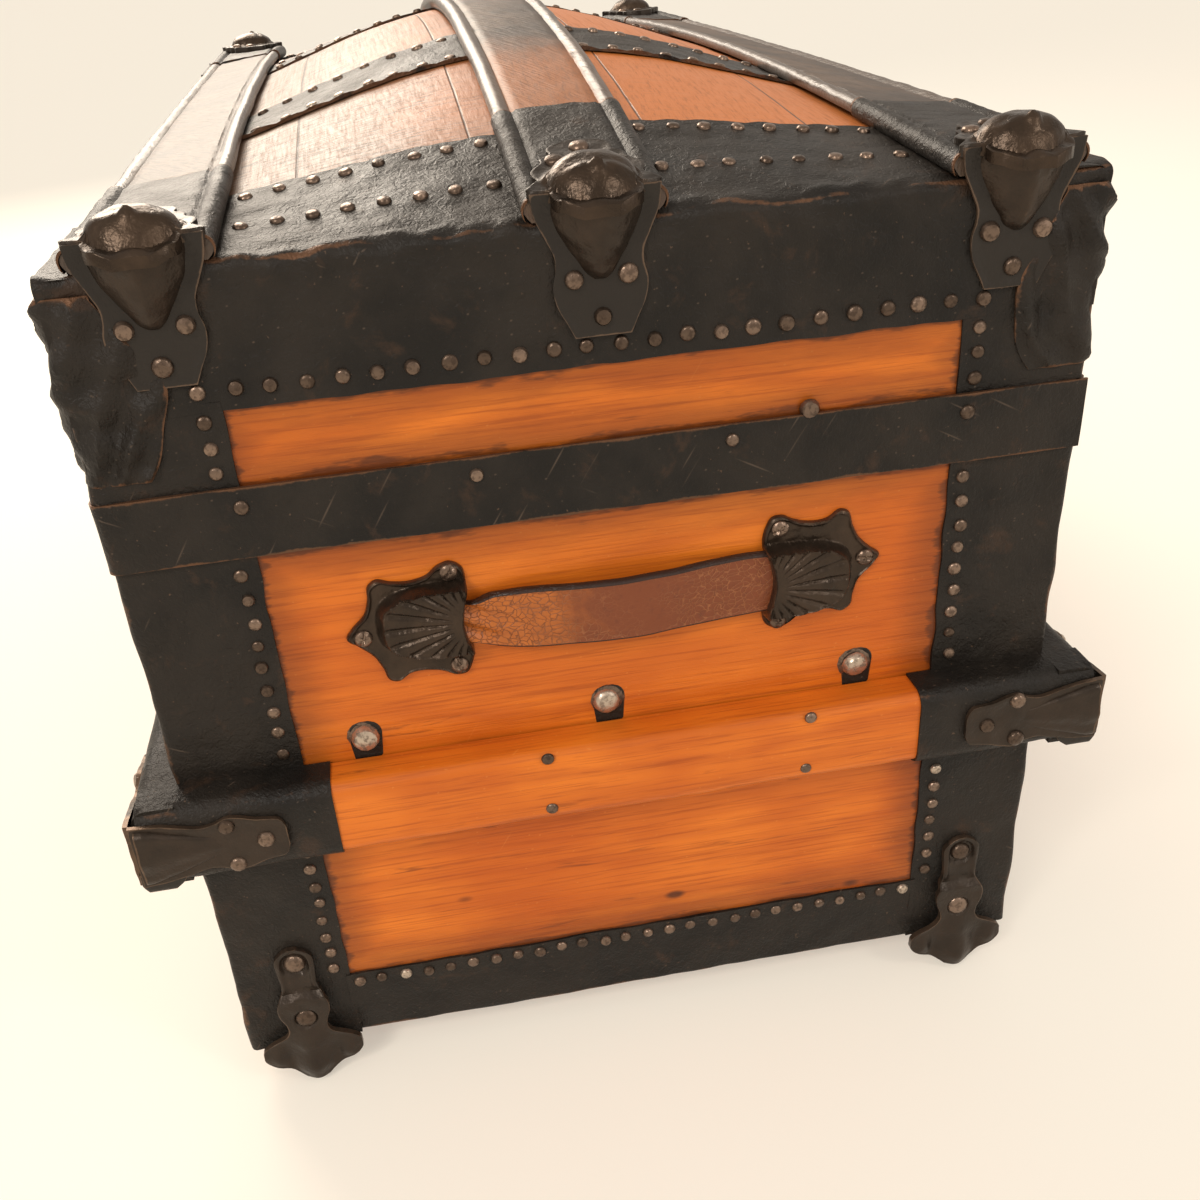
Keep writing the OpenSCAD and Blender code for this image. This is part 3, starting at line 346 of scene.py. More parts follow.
def make_floor():
    """A wide floor whose unshaded colour is the room's, and that keeps the trunk's shadow."""
    mesh = bpy.data.meshes.new("floor")
    w = FLOOR_HALF
    mesh.from_pydata([(-w, -w, 0), (w, -w, 0), (w, w, 0), (-w, w, 0)], [], [(0, 1, 2, 3)])
    material = bpy.data.materials.new("floor")
    material.use_nodes = True
    t = Tree(material.node_tree)
    path = t.add("LightPath")
    plain = t.add("BsdfDiffuse", Color=FLOOR_CREAM)
    glow = t.add("Emission", Color=CREAM, Strength=1.0)
    share = t.times(t.math("MAXIMUM", path["Is Camera Ray"], path["Is Glossy Ray"]), FLOOR_GLOW)
    both = t.add("MixShader", {0: share, 1: plain["BSDF"], 2: glow["Emission"]})
    t.add("OutputMaterial", Surface=both["Shader"])
    mesh.materials.append(material)
    o = bpy.data.objects.new("floor", mesh)
    bpy.context.scene.collection.objects.link(o)


def lamp(name, kind, at, to, energy, size, colour=LAMP_WHITE):
    """A sun (size is its spread in degrees) or a square area lamp (size in metres), facing a point."""
    data = bpy.data.lights.new(name, kind)
    data.energy = energy
    data.color = colour
    if kind == "SUN":
        data.angle = math.radians(size)
    else:
        data.size = size
    o = bpy.data.objects.new(name, data)
    o.location = at
    o.rotation_euler = (Vector(to) - Vector(at)).to_track_quat("-Z", "Y").to_euler()
    bpy.context.scene.collection.objects.link(o)


def make_lights():
    """A broad soft light from high on the photograph's left, and weaker ones that draw the edges."""
    lamp("key", "SUN", (2.2, -1.6, 2.6), (0, 0, 0.2), 1.05, 22)
    lamp("fill", "SUN", (2.0, 2.0, 1.2), (0, 0, 0.3), 0.3, 40)
    lamp("spot_left", "AREA", (1.9, -1.5, 1.9), (0.43, 0, 0.4), 9, 0.35)
    lamp("spot_right", "AREA", (1.6, 1.3, 1.7), (0.43, 0, 0.4), 6, 0.35)
    lamp("back", "AREA", (-1.9, -0.75, 1.75), (0, -0.05, 0.5), 72, 1.5, LAMP_AMBER)


# ---------- shader trees ----------
class Tree:
    """Adds shader nodes to an emptied tree and joins them: a value that is a socket is linked."""

    def __init__(self, tree):
        self.tree = tree
        tree.nodes.clear()

    def add(self, kind, numbered=None, **settings):
        """A node of the kind. Settings named as its inputs (_ for a space) or numbered are inputs, and
        the others are its own settings. What comes back gives its outputs by name or number."""
        node = self.tree.nodes.new("ShaderNode" + kind)
        for key, value in settings.items():
            if hasattr(node, key) and key not in node.inputs:
                setattr(node, key, value)
            else:
                self.put(node.inputs[key.replace("_", " ")], value)
        for key, value in (numbered or {}).items():
            self.put(node.inputs[key], value)
        return node.outputs

    def put(self, socket, value):
        """Links a socket, or sets it to a plain value."""
        if isinstance(value, bpy.types.NodeSocket):
            self.tree.links.new(value, socket)
        else:
            socket.default_value = value

    def math(self, operation, a, b=0.0, clamp=False):
        """One sum on one or two values, which the next four name in words."""
        return self.add("Math", {0: a, 1: b}, operation=operation, use_clamp=clamp)[0]

    def plus(self, a, b):
        return self.math("ADD", a, b)

    def minus(self, a, b):
        return self.math("SUBTRACT", a, b)

    def times(self, a, b, clamp=False):
        return self.math("MULTIPLY", a, b, clamp)

    def size(self, a):
        """The value without its sign."""
        return self.math("ABSOLUTE", a)

    def swing(self, noise, amount):
        """A noise, whose middle is 0.5, as a swing of the amount about 0."""
        return self.times(self.minus(noise, 0.5), amount)

    def ramp(self, value, low, high, out_low=0.0, out_high=1.0):
        """The value taken smoothly from low..high to out_low..out_high."""
        return self.add("MapRange", {0: value, 1: low, 2: high, 3: out_low, 4: out_high},
                        interpolation_type="SMOOTHSTEP")[0]

    def blend(self, share, a, b):
        """Colour b over colour a, as much as the share says."""
        return self.add("Mix", {0: share, 6: a, 7: b}, data_type="RGBA", blend_type="MIX")[2]

    def noise(self, vector, scale, detail=4.0, roughness=0.55, distortion=0.0):
        return self.add("TexNoise", Vector=vector, Scale=scale, Detail=detail, Roughness=roughness,
                        Distortion=distortion)[0]

    def stretched(self, vector, scale, turn=(0, 0, 0), start=0.0):
        """The vector turned first and then multiplied by the scale."""
        return self.add("Mapping", Vector=vector, Scale=[1 / v for v in scale], Rotation=turn,
                        Location=(start, start, start), vector_type="TEXTURE")[0]

    def axes(self, vector):
        """The vector's three values."""
        return self.add("SeparateXYZ", Vector=vector)

    def mark(self, name):
        """What a piece's points were marked with: edge or tint."""
        return self.add("Attribute", attribute_name=name)["Fac"]

    def bump(self, height, strength, distance):
        return self.add("Bump", Height=height, Strength=strength, Distance=distance)[0]


def group(name, values, outputs, fill):
    """A shader node group with a Vector input, further inputs with their values, and outputs."""
    tree = bpy.data.node_groups.new(name, "ShaderNodeTree")
    t = Tree(tree)
    tree.interface.new_socket("Vector", in_out="INPUT", socket_type="NodeSocketVector")
    for label, value in values.items():
        s = tree.interface.new_socket(label, in_out="INPUT", socket_type="NodeSocketFloat")
        s.default_value = value
    for label in outputs:
        tree.interface.new_socket(label, in_out="OUTPUT", socket_type="NodeSocketFloat")
    given = tree.nodes.new("NodeGroupInput").outputs
    out = tree.nodes.new("NodeGroupOutput")
    for label, value in fill(t, given).items():
        t.put(out.inputs[label], value)
    return tree


def use(t, tree, **settings):
    """Places a node group with its own values."""
    node = t.tree.nodes.new("ShaderNodeGroup")
    node.node_tree = tree
    for key, value in settings.items():
        t.put(node.inputs[key.replace("_", " ")], value)
    return node.outputs


def fill_grain(t, i):
    """Pine grain along the vector's X: growth rings cut by the board, fine fibres, and dark streaks."""
    board = t.stretched(i["Vector"], (1.0, 6.0, 6.0))
    drift = t.noise(board, 3.0, 3.0, 0.5)
    lines = t.plus(t.times(drift, 16.0), t.times(t.axes(i["Vector"])[2], 90.0))
    rings = t.size(t.math("SINE", lines))
    fibres = t.noise(t.stretched(i["Vector"], (14.0, 560.0, 560.0)), 1.0, 3.0, 0.7)
    streaks = t.noise(t.stretched(i["Vector"], (12.0, 150.0, 150.0)), 1.0, 4.0, 0.65, 0.6)
    return {"Rings": t.math("POWER", rings, 2.2), "Fibres": fibres, "Streaks": streaks}


def fill_scratches(t, i):
    """Short straight scratches in three directions: thin ellipses round the points of a stretched cell
    pattern, of which each cell's colour keeps a few."""
    found = None
    for turn, start_at in (((1.0, 0, 0), 0.0), ((-0.5, 0, 0), 3.0), ((0.15, 0, 0.8), 7.0)):
        where = t.stretched(i["Vector"], (230, 11, 230), turn, start_at)
        cell = t.add("TexVoronoi", Vector=where, Scale=1.0)
        kept = t.ramp(t.axes(cell[1])[0], 0.60, 0.64)
        line = t.times(t.ramp(cell[0], 0.03, 0.15, 1.0, 0.0), kept)
        found = line if found is None else t.math("MAXIMUM", found, line)
    return {"Lines": t.times(found, i["Amount"])}


def fill_crackle(t, i):
    """Fine cracks of an old coat: the borders of irregular cells, broken up by noise."""
    swirl = t.add("TexNoise", Vector=i["Vector"], Scale=90.0)[1]
    bent = t.add("VectorMath", {0: swirl, 1: (0.011, 0.011, 0.011), 2: i["Vector"]},
                 operation="MULTIPLY_ADD")[0]
    cell = t.add("TexVoronoi", Vector=bent, Scale=i["Scale"], feature="DISTANCE_TO_EDGE")[0]
    keep = t.ramp(t.noise(i["Vector"], 22.0, 3.0), 0.3, 0.5)
    return {"Cracks": t.times(t.ramp(cell, 0.0, i["Width"], 1.0, 0.0), keep)}


def fill_wear(t, i):
    """Worn edges: the edge mark broken up by noise."""
    rough = t.noise(i["Vector"], 260.0, 3.0, 0.6)
    broad = t.noise(i["Vector"], 28.0, 2.0, 0.5)
    torn = t.plus(t.plus(i["Edge"], t.swing(rough, 0.55)), t.swing(broad, 1.5))
    return {"Wear": t.times(t.ramp(torn, 0.72, 1.0), i["Amount"], clamp=True)}


def fill_grime_and_shade(t, i):
    """Darkening along the border of a panel on the end, near its low, high, left and right edges where the
    metal meets the wood: dirt, and painted shade.
    """
    xyz = t.axes(i["Vector"])
    across = t.minus(i["Half width"], t.size(xyz[1]))
    up, down = t.minus(xyz[2], i["Low"]), t.minus(i["High"], xyz[2])
    gap = t.math("MINIMUM", across, t.math("MINIMUM", up, down))
    ragged = t.plus(gap, t.swing(t.noise(t.stretched(i["Vector"], (60, 22, 120)), 1.0, 4.0, 0.7), 0.022))
    # A narrow dark rim and a wider dark band along the border: dirt, and painted shade where the metal's
    # edges and the strap stand over the wood.
    rim, wide_band = t.ramp(ragged, 0.0, 0.007, 1.0, 0.0), t.ramp(ragged, 0.0, 0.030, 0.6, 0.0)
    return {"Grime": t.math("MAXIMUM", rim, wide_band)}


GRAIN = group("pine grain", {}, ["Rings", "Fibres", "Streaks"], fill_grain)
SCRATCHES = group("scratches", {"Amount": 1.0}, ["Lines"], fill_scratches)
CRACKLE = group("crackle", {"Scale": 120.0, "Width": 0.05}, ["Cracks"], fill_crackle)
WEAR = group("edge wear", {"Edge": 0.0, "Amount": 1.0}, ["Wear"], fill_wear)
# The panels' dark border: grime, and painted shade by the metal.
GRIME_AND_SHADE = group("panel grime and shade", {"Half width": 0.175, "Low": 0.07, "High": 0.35}, ["Grime"], fill_grime_and_shade)


def colour(red, green, blue):
    """A solid colour, as the shaders' linear values."""
    return (red, green, blue, 1)


VARNISH, PALE_VARNISH = colour(0.52, 0.108, 0.007), colour(0.68, 0.175, 0.014)
RING_BROWN, FIBRE_BROWN = colour(0.34, 0.052, 0.004), colour(0.25, 0.040, 0.004)
STREAK_BROWN, KNOT_BROWN = colour(0.10, 0.020, 0.004), colour(0.05, 0.012, 0.004)
# PANEL_DIRT_AND_SHADE is the colour of the panels' dark border: grime, and painted shade by the metal.
VARNISH_SCRATCH, PANEL_DIRT_AND_SHADE = colour(0.66, 0.24, 0.05), colour(0.06, 0.016, 0.005)
BLACK_PAINT, DUSTY_PAINT = colour(0.0095, 0.0078, 0.0064), colour(0.020, 0.0155, 0.0120)
RUST, PAINT_SCRATCH = colour(0.050, 0.027, 0.016), colour(0.12, 0.085, 0.062)
PAINT_FLECK, WORN_COPPER = colour(0.14, 0.085, 0.055), colour(0.115, 0.058, 0.032)
CAST_BLACK, CAST_BRONZE = colour(0.020, 0.0155, 0.0120), colour(0.064, 0.042, 0.028)
# The castings' bright edges and ridges: rubbed metal, and a painted highlight.
CAST_EDGE_RUB_AND_HIGHLIGHT = colour(0.13, 0.084, 0.056)
NAIL_BROWN, NAIL_BRONZE = colour(0.085, 0.058, 0.042), colour(0.215, 0.150, 0.112)
NAIL_BRIGHT, NAIL_GRIME = colour(0.48, 0.39, 0.31), colour(0.04, 0.026, 0.018)
LEATHER_RED, LEATHER_ORANGE = colour(0.165, 0.040, 0.011), colour(0.40, 0.110, 0.016)
PALE_CRACK, DARK_CRACK = colour(0.33, 0.125, 0.045), colour(0.10, 0.026, 0.008)
LEATHER_STAIN, LEATHER_RIM = colour(0.09, 0.022, 0.01), colour(0.025, 0.010, 0.006)
WEATHERED, WEATHERED_PALE = colour(0.048, 0.031, 0.021), colour(0.100, 0.062, 0.039)
COMBED_DARK, BEAD_BROWN = colour(0.022, 0.014, 0.010), colour(0.085, 0.060, 0.045)
BARE_WOOD, BARE_FIBRE = colour(0.30, 0.105, 0.033), colour(0.13, 0.05, 0.02)
CROWN_BROWN, CROWN_ORANGE = colour(0.19, 0.110, 0.068), colour(0.50, 0.150, 0.032)
CROWN_FIBRE, CROWN_WEAVE = colour(0.20, 0.070, 0.025), colour(0.075, 0.045, 0.03)
SEAM = colour(0.03, 0.012, 0.006)
IRON_DARK, IRON_RUBBED = colour(0.05, 0.04, 0.033), colour(0.17, 0.125, 0.095)


# ---------- materials ----------
def start(name, **shader):
    """A material with a Principled shader: its tree, its shader's inputs and the object's coordinates."""
    m = bpy.data.materials.new(name)
    m.use_nodes = True
    t = Tree(m.node_tree)
    node = t.tree.nodes.new("ShaderNodeBsdfPrincipled")
    for key, value in shader.items():
        node.inputs[key.replace("_", " ")].default_value = value
    t.add("OutputMaterial", Surface=node.outputs[0])
    return m, t, node.inputs, t.add("TexCoord")["Object"]


def finish(m, t, s, base, rough, height, strength, distance):
    """Joins a material's colour, roughness and bumps to its shader."""
    t.put(s["Base Color"], base)
    t.put(s["Roughness"], rough)
    t.put(s["Normal"], t.bump(height, strength, distance))
    return m


def pine(name, along, panel=None):
    """Varnished pine whose grain runs along X or Y, darkened round the panel that the metal leaves by grime
    and by painted shade where the metal meets the wood.
    The darkening lies on the boards' outer faces alone, where |x| is that of the wood's face."""
    m, t, s, where = start(name, Coat_Weight=0.1, Coat_Roughness=0.25, Specular_IOR_Level=0.25)
    grain_at = where
    if along == "y":
        grain_at = t.add("Mapping", Vector=where, Rotation=(0, 0, math.radians(90)))[0]
    g = use(t, GRAIN, Vector=grain_at)
    base = t.blend(t.ramp(t.noise(where, 9.0, 3.0, 0.5), 0.3, 0.7), VARNISH, PALE_VARNISH)
    base = t.blend(t.times(g["Rings"], 0.30), base, RING_BROWN)
    base = t.blend(t.ramp(g["Fibres"], 0.46, 0.70, 0.0, 0.48), base, FIBRE_BROWN)
    base = t.blend(t.ramp(g["Streaks"], 0.63, 0.75, 0.0, 0.6), base, STREAK_BROWN)
    knots = t.add("TexVoronoi", Vector=t.stretched(grain_at, (0.5, 1.0, 1.0)), Scale=26.0)[0]
    base = t.blend(t.ramp(knots, 0.05, 0.11, 0.85, 0.0), base, KNOT_BROWN)
    base = t.blend(use(t, SCRATCHES, Vector=where, Amount=0.35)["Lines"], base, VARNISH_SCRATCH)
    if panel:
        # Dark border of the panel: grime, and painted shade where the metal meets the wood.
        dirt_and_shade = use(t, GRIME_AND_SHADE, Vector=where, **panel)["Grime"]
        outer = t.ramp(t.size(t.axes(where)[0]), (WOOD_X - 2) * MM, (WOOD_X - 1) * MM, 0.0, 0.85)
        base = t.blend(t.times(dirt_and_shade, outer), base, PANEL_DIRT_AND_SHADE)
    height = t.plus(t.times(g["Fibres"], -0.5), t.times(g["Streaks"], -0.9))
    return finish(m, t, s, base, t.ramp(g["Fibres"], 0.3, 0.8, 0.34, 0.55), height, 0.45, 0.0012)


def sheet_metal(name):
    """Black painted sheet: brown scuffs, pale scratches, small dents, and copper-brown worn edges."""
    m, t, s, where = start(name, Specular_IOR_Level=0.2)
    cloud = t.noise(where, 16.0, 5.0, 0.6)
    base = t.blend(t.ramp(cloud, 0.35, 0.65), BLACK_PAINT, DUSTY_PAINT)
    rust = t.ramp(t.noise(where, 42.0, 6.0, 0.68, 0.4), 0.56, 0.72)
    base = t.blend(t.times(rust, 0.55), base, RUST)
    base = t.blend(use(t, SCRATCHES, Vector=where, Amount=0.45)["Lines"], base, PAINT_SCRATCH)
    fleck = t.ramp(t.noise(where, 420.0, 2.0, 0.5), 0.72, 0.78)
    base = t.blend(t.times(fleck, 0.5), base, PAINT_FLECK)
    worn = use(t, WEAR, Vector=where, Edge=t.mark("edge"))["Wear"]
    base = t.blend(worn, base, WORN_COPPER)
    t.put(s["Metallic"], t.times(worn, 0.5))
    grazed = t.noise(t.stretched(where, (300.0, 900.0, 300.0), (0, 0, 0.7)), 1.0, 3.0, 0.65)
    crinkled = t.plus(t.times(t.noise(where, 330.0, 2.0, 0.6, 0.8), 0.20), t.times(grazed, 0.09))
    height = t.plus(t.noise(where, 30.0, 2.0, 0.5), crinkled)
    return finish(m, t, s, base, t.ramp(cloud, 0.3, 0.75, 0.38, 0.54), height, 0.6, 0.007)


def cast_iron(name):
    """Black cast metal, pitted, rubbed to bronze where a casting's tint says, and bright on its edges: rubbed
    metal, with a painted highlight.
    """
    m, t, s, where = start(name, Specular_IOR_Level=0.4)
    cloud = t.noise(where, 60.0, 4.0, 0.6)
    tint = t.mark("tint")
    base = t.blend(t.times(tint, t.ramp(cloud, 0.3, 0.7, 0.45, 1.0)), CAST_BLACK, CAST_BRONZE)
    # The edge mark, broken up, lightens edges and ridges: partly rubbed metal, partly a painted highlight.
    worn = use(t, WEAR, Vector=where, Edge=t.mark("edge"), Amount=0.8)["Wear"]
    base = t.blend(worn, base, CAST_EDGE_RUB_AND_HIGHLIGHT)
    t.put(s["Metallic"], t.math("ADD", t.times(tint, 0.45), t.plus(t.times(worn, 0.2), 0.35), clamp=True))
    rough = t.minus(t.ramp(cloud, 0.3, 0.75, 0.36, 0.54), t.times(tint, 0.12))
    pits = t.plus(t.noise(where, 130.0, 3.0, 0.6), t.times(t.noise(where, 700.0, 2.0), 0.2))
    return finish(m, t, s, base, rough, pits, 0.45, 0.0016)


def nail_metal(name):
    """Tarnished nail heads: brown bronze, and some worn bright, as each head's tint says."""
    m, t, s, where = start(name, Metallic=0.85)
    tint = t.mark("tint")
    base = t.blend(t.ramp(tint, 0.0, 0.75), NAIL_BROWN, NAIL_BRONZE)
    base = t.blend(t.ramp(tint, 0.86, 0.95), base, NAIL_BRIGHT)
    grime = t.ramp(t.noise(where, 380.0, 3.0, 0.6), 0.45, 0.65)
    base = t.blend(t.times(grime, 0.55), base, NAIL_GRIME)
    rough = t.ramp(grime, 0.0, 1.0, 0.30, 0.55)
    return finish(m, t, s, base, rough, t.noise(where, 500.0, 2.0), 0.35, 0.0008)


def handle_leather(name):
    """Old harness leather: red-brown, worn to glossy crackled orange at one end, with dark rims."""
    m, t, s, where = start(name, Specular_IOR_Level=0.3, Coat_Weight=0.15, Coat_Roughness=0.3)
    ragged = t.plus(t.mark("tint"), t.swing(t.noise(where, 70.0, 4.0, 0.6), 1.1))
    worn = t.ramp(ragged, 0.30, 0.95)
    base = t.blend(worn, LEATHER_RED, LEATHER_ORANGE)
    cracks = use(t, CRACKLE, Vector=t.stretched(where, (1, 0.8, 1)), Scale=330.0, Width=0.10)["Cracks"]
    line = t.blend(worn, PALE_CRACK, DARK_CRACK)
    base = t.blend(t.times(cracks, t.ramp(worn, 0.0, 1.0, 0.55, 0.75)), base, line)
    base = t.blend(t.ramp(t.noise(where, 180.0, 3.0, 0.6), 0.55, 0.75, 0.0, 0.4), base, LEATHER_STAIN)
    base = t.blend(t.ramp(t.mark("edge"), 0.45, 0.85), base, LEATHER_RIM)
    height = t.minus(t.times(t.noise(where, 420.0, 3.0, 0.6), 0.5), t.times(cracks, 0.8))
    return finish(m, t, s, base, t.ramp(worn, 0.0, 1.0, 0.52, 0.36), height, 0.5, 0.0009)


def lid_slat_wood(name, patch):
    """Weathered slat: grey-brown with cross scratches on top, varnish left on its round edges, and
    bare orange wood near the +X end where patch is 1."""
    m, t, s, where = start(name, Specular_IOR_Level=0.35, Coat_Weight=0.1, Coat_Roughness=0.35)
    bead = t.mark("edge")
    cloud = t.noise(where, 18.0, 4.0, 0.6)
    base = t.blend(t.ramp(cloud, 0.35, 0.65), WEATHERED, WEATHERED_PALE)
    combed = t.noise(t.stretched(where, (60.0, 480.0, 120.0), (0, 0, 0.5)), 1.0, 3.0, 0.6)
    base = t.blend(t.ramp(combed, 0.50, 0.62, 0.0, 0.7), base, COMBED_DARK)
    ragged = t.plus(t.axes(where)[0], t.swing(t.noise(where, 24.0, 4.0, 0.6), 0.10))
    bare = t.times(t.times(t.ramp(ragged, 0.19, 0.27), t.ramp(bead, 0.2, 0.6, 1.0, 0.15)), patch)
    grain = use(t, GRAIN, Vector=where)
    orange = t.blend(t.ramp(grain["Fibres"], 0.45, 0.7, 0.0, 0.6), BARE_WOOD, BARE_FIBRE)
    base = t.blend(bare, base, orange)
    base = t.blend(t.times(t.ramp(bead, 0.3, 0.8), 0.6), base, BEAD_BROWN)
    height = t.plus(combed, t.times(cloud, 0.8))
    return finish(m, t, s, base, t.ramp(bead, 0.2, 0.8, 0.52, 0.34), height, 0.5, 0.0014)


def lid_board(name):
    """Boards of the crown: sun-bleached orange on the back half, crackled brown on the front half, with
    dark seams along the trunk's length. Where tint is 0, inside the lid, they are orange all over."""
    m, t, s, where = start(name, Specular_IOR_Level=0.3, Coat_Weight=0.08, Coat_Roughness=0.4)
    g = use(t, GRAIN, Vector=where)
    across = t.axes(where)[1]
    side = t.plus(across, t.swing(t.noise(where, 14.0, 4.0, 0.6), 0.12))
    pale = t.math("MAXIMUM", t.ramp(side, -0.13, 0.03), t.ramp(t.mark("tint"), 0.4, 0.6, 1.0, 0.0))
    base = t.blend(pale, CROWN_BROWN, CROWN_ORANGE)
    base = t.blend(t.ramp(g["Fibres"], 0.5, 0.72, 0.0, 0.5), base, CROWN_FIBRE)
    weave = t.noise(t.stretched(where, (700.0, 60.0, 60.0)), 1.0, 2.0, 0.6)
    weave = t.times(t.ramp(weave, 0.52, 0.62), t.ramp(pale, 0.0, 1.0, 0.85, 0.12))
    base = t.blend(weave, base, CROWN_WEAVE)
    boards_per_m = 11.5
    seam = t.ramp(t.size(t.minus(t.math("FRACT", t.times(across, boards_per_m)), 0.5)), 0.0, 0.012, 1.0, 0.0)
    base = t.blend(t.times(seam, 0.9), base, SEAM)
    height = t.minus(t.times(g["Fibres"], -0.4), t.plus(seam, t.times(weave, 0.4)))
    return finish(m, t, s, base, t.ramp(g["Fibres"], 0.3, 0.8, 0.42, 0.6), height, 0.5, 0.0012)


def iron_bore(name):
    """Plain dark iron for axles, pins and rollers, turned bright where they rub."""
    m, t, s, where = start(name, Metallic=0.8)
    cloud = t.noise(where, 90.0, 4.0, 0.6)
    base = t.blend(t.ramp(cloud, 0.4, 0.6), IRON_DARK, IRON_RUBBED)
    return finish(m, t, s, base, t.ramp(cloud, 0.3, 0.7, 0.34, 0.56), cloud, 0.3, 0.001)


make_camera()
make_world()
make_floor()
make_lights()

PANEL_HALF = 0.1745
PANEL = {"Half_width": PANEL_HALF, "Low": (FOOT_Z + FOOT_H) * MM, "High": STRAP_LOW * MM}
LID_PANEL = {"Half_width": PANEL_HALF, "Low": STRAP_HIGH * MM, "High": RIM_Z * MM}
BODY_PINE = pine("body pine", "y", PANEL)
LID_PINE = pine("lid pine", "y", LID_PANEL)
SIDE_PINE = pine("side pine", "x")
SLAT_PINE = pine("slat pine", "y")
SIDE_SLAT_PINE = pine("side slat pine", "x")
SHEET = sheet_metal("black sheet")
CAST = cast_iron("cast iron")
NAILS = nail_metal("nail heads")
LEATHER = handle_leather("handle leather")
CROWN_WOOD = lid_board("crown boards")
MID_SLAT_WOOD = lid_slat_wood("middle slat", 1.0)
SIDE_LID_SLAT_WOOD = lid_slat_wood("outer slats", 0.0)
IRON = iron_bore("worn iron")


# ---------- the crown and the bends of the sheets ----------
def crown(x, y):
    """Height of the crowned lid: a parabola along the trunk times a drawn-in cosine across it."""
    wave = np.clip(np.cos(np.pi * y / (2 * HALF_W)), 0, 1) ** CROWN_POWER
    return LID_TOP + CROWN_RISE * (1 - (x / HALF_L) ** 2) * wave


def bend(s, r):
    """A right-angled bend of radius r at s = 0: how far a sheet reaches out and up, and its normal.
    Before the bend it climbs a wall, and after it it runs inwards over the top."""
    q = np.pi * r / 4
    turn = np.clip((s + q) / r, 0, np.pi / 2)
    out = -r + r * np.cos(turn) - np.maximum(s - q, 0)
    up = -r + r * np.sin(turn) + np.minimum(s + q, 0)
    return out, up, np.cos(turn), np.sin(turn)


# ---------- sheet metal of the body ----------
def corner_angle(z0, z1, seed, lift=1.0):
    """The sheet round the vertical corner at +X +Y. It follows the two faces, with a rounded and
    knocked corner, small hollows all over, and free edges that wave between the nails."""
    s = np.concatenate([steps(-CORNER_W, -9, 5), steps(-8, 8, 1.3), steps(9, CORNER_W, 5)])[:, None]
    z = steps(z0, z1, 4.5)[None, :]
    free = near(CORNER_W - np.abs(s), reach=6)
    s_wavy = s + np.sign(s) * free * wavy(z, 22, 0.6, seed)
    out, up, nx, ny = bend(s_wavy, CORNER_R)
    x, y = HALF_L + out, HALF_W + up
    h = dents(x, y, z, seed, (0.45, 70), (0.35, 24))
    h = h + free * (0.5 + 0.6 * lumps(x, y, z, 30, seed + 2)) * lift
    knocked = bell(s, 0, 12) * 0.9 * (1 + lumps(x, y, z, 34, seed + 3))
    h = np.where(np.abs(s) < 14, np.maximum(h, -0.1), h) + knocked
    top = uvw(x + nx * h, y + ny * h, z)
    under = uvw(x - nx * METAL, y - ny * METAL, z)
    return slab(top, under, 0.55 * near(CORNER_W - np.abs(s) + 0 * z, reach=2) + 0.85 * bell(s, 0, 3.0))


def body_corners():
    """The four corner sheets of the body, each with its own knocks."""
    shapes = []
    for k, corner in enumerate(CORNERS):
        shapes += at_corner([corner_angle(FOOT_Z, JOINT_Z, seed=11 + 7 * k)], corner)
    piece("corner_sheets", shapes, SHEET, "body", ["body_corner_metal"])


def foot_angle(half, seed):
    """The sheet along the foot of a wall, drawn along u, height and outwards: a leg up the wall with a
    wavy top edge and a leg turned under."""
    u = steps(-half, half, 6)[:, None]
    s = np.concatenate([steps(-FOOT_UNDER, -4, 5), steps(-3, 3, 1.2), steps(4, FOOT_H, 4)])[None, :]
    top_edge = near(FOOT_H - s, reach=5)
    s_wavy = s + top_edge * wavy(u, 24, 0.7, seed)
    out, up, nw, nv = bend(-s_wavy, FOOT_R)
    w, v = out, -up
    h = dents(u, v, w, seed, (0.3, 60), (0.3, 20)) + top_edge * 0.4
    top = uvw(u, v - nv * h, w + nw * h)
    under = uvw(u, v + nv * METAL, w - nw * METAL)
    return slab(top, under, 0.5 * near(FOOT_H - s + 0 * u, reach=2) + 0.9 * bell(s, 0, 3))


def foot_sheets():
    """The foot's sheets, which run a little under the corner sheets."""
    end_half, side_half = HALF_W - CORNER_W + FOOT_LAP, HALF_L - CORNER_W + FOOT_LAP
    shapes = [on_end(foot_angle(end_half, seed=41), 0, FOOT_Z, HALF_L),
              mirror(on_end(foot_angle(end_half, seed=47), 0, FOOT_Z, HALF_L), 0),
              on_front(foot_angle(side_half, seed=53), 0, FOOT_Z, HALF_W),
              on_back(foot_angle(side_half, seed=59), 0, FOOT_Z, HALF_W)]
    piece("foot_sheets", shapes, SHEET, "body", ["foot_metal"])


# ---------- slats of the body ----------
def slat_ring(depth, height, r, n=7):
    """Points round a slat's section as (outwards, up): a flat back and two rounded outer edges."""
    a = np.linspace(0, np.pi / 2, n)
    upper = np.stack([depth - r + r * np.sin(a), height / 2 - r + r * np.cos(a)], -1)
    lower = upper[::-1] * (1, -1)
    face = np.stack([np.full(4, depth), np.linspace(height / 2 - r, r - height / 2, 6)[1:-1]], -1)
    back = np.array([[0, -height / 2], [0, height / 2]])
    return np.concatenate([upper, face, lower, back])


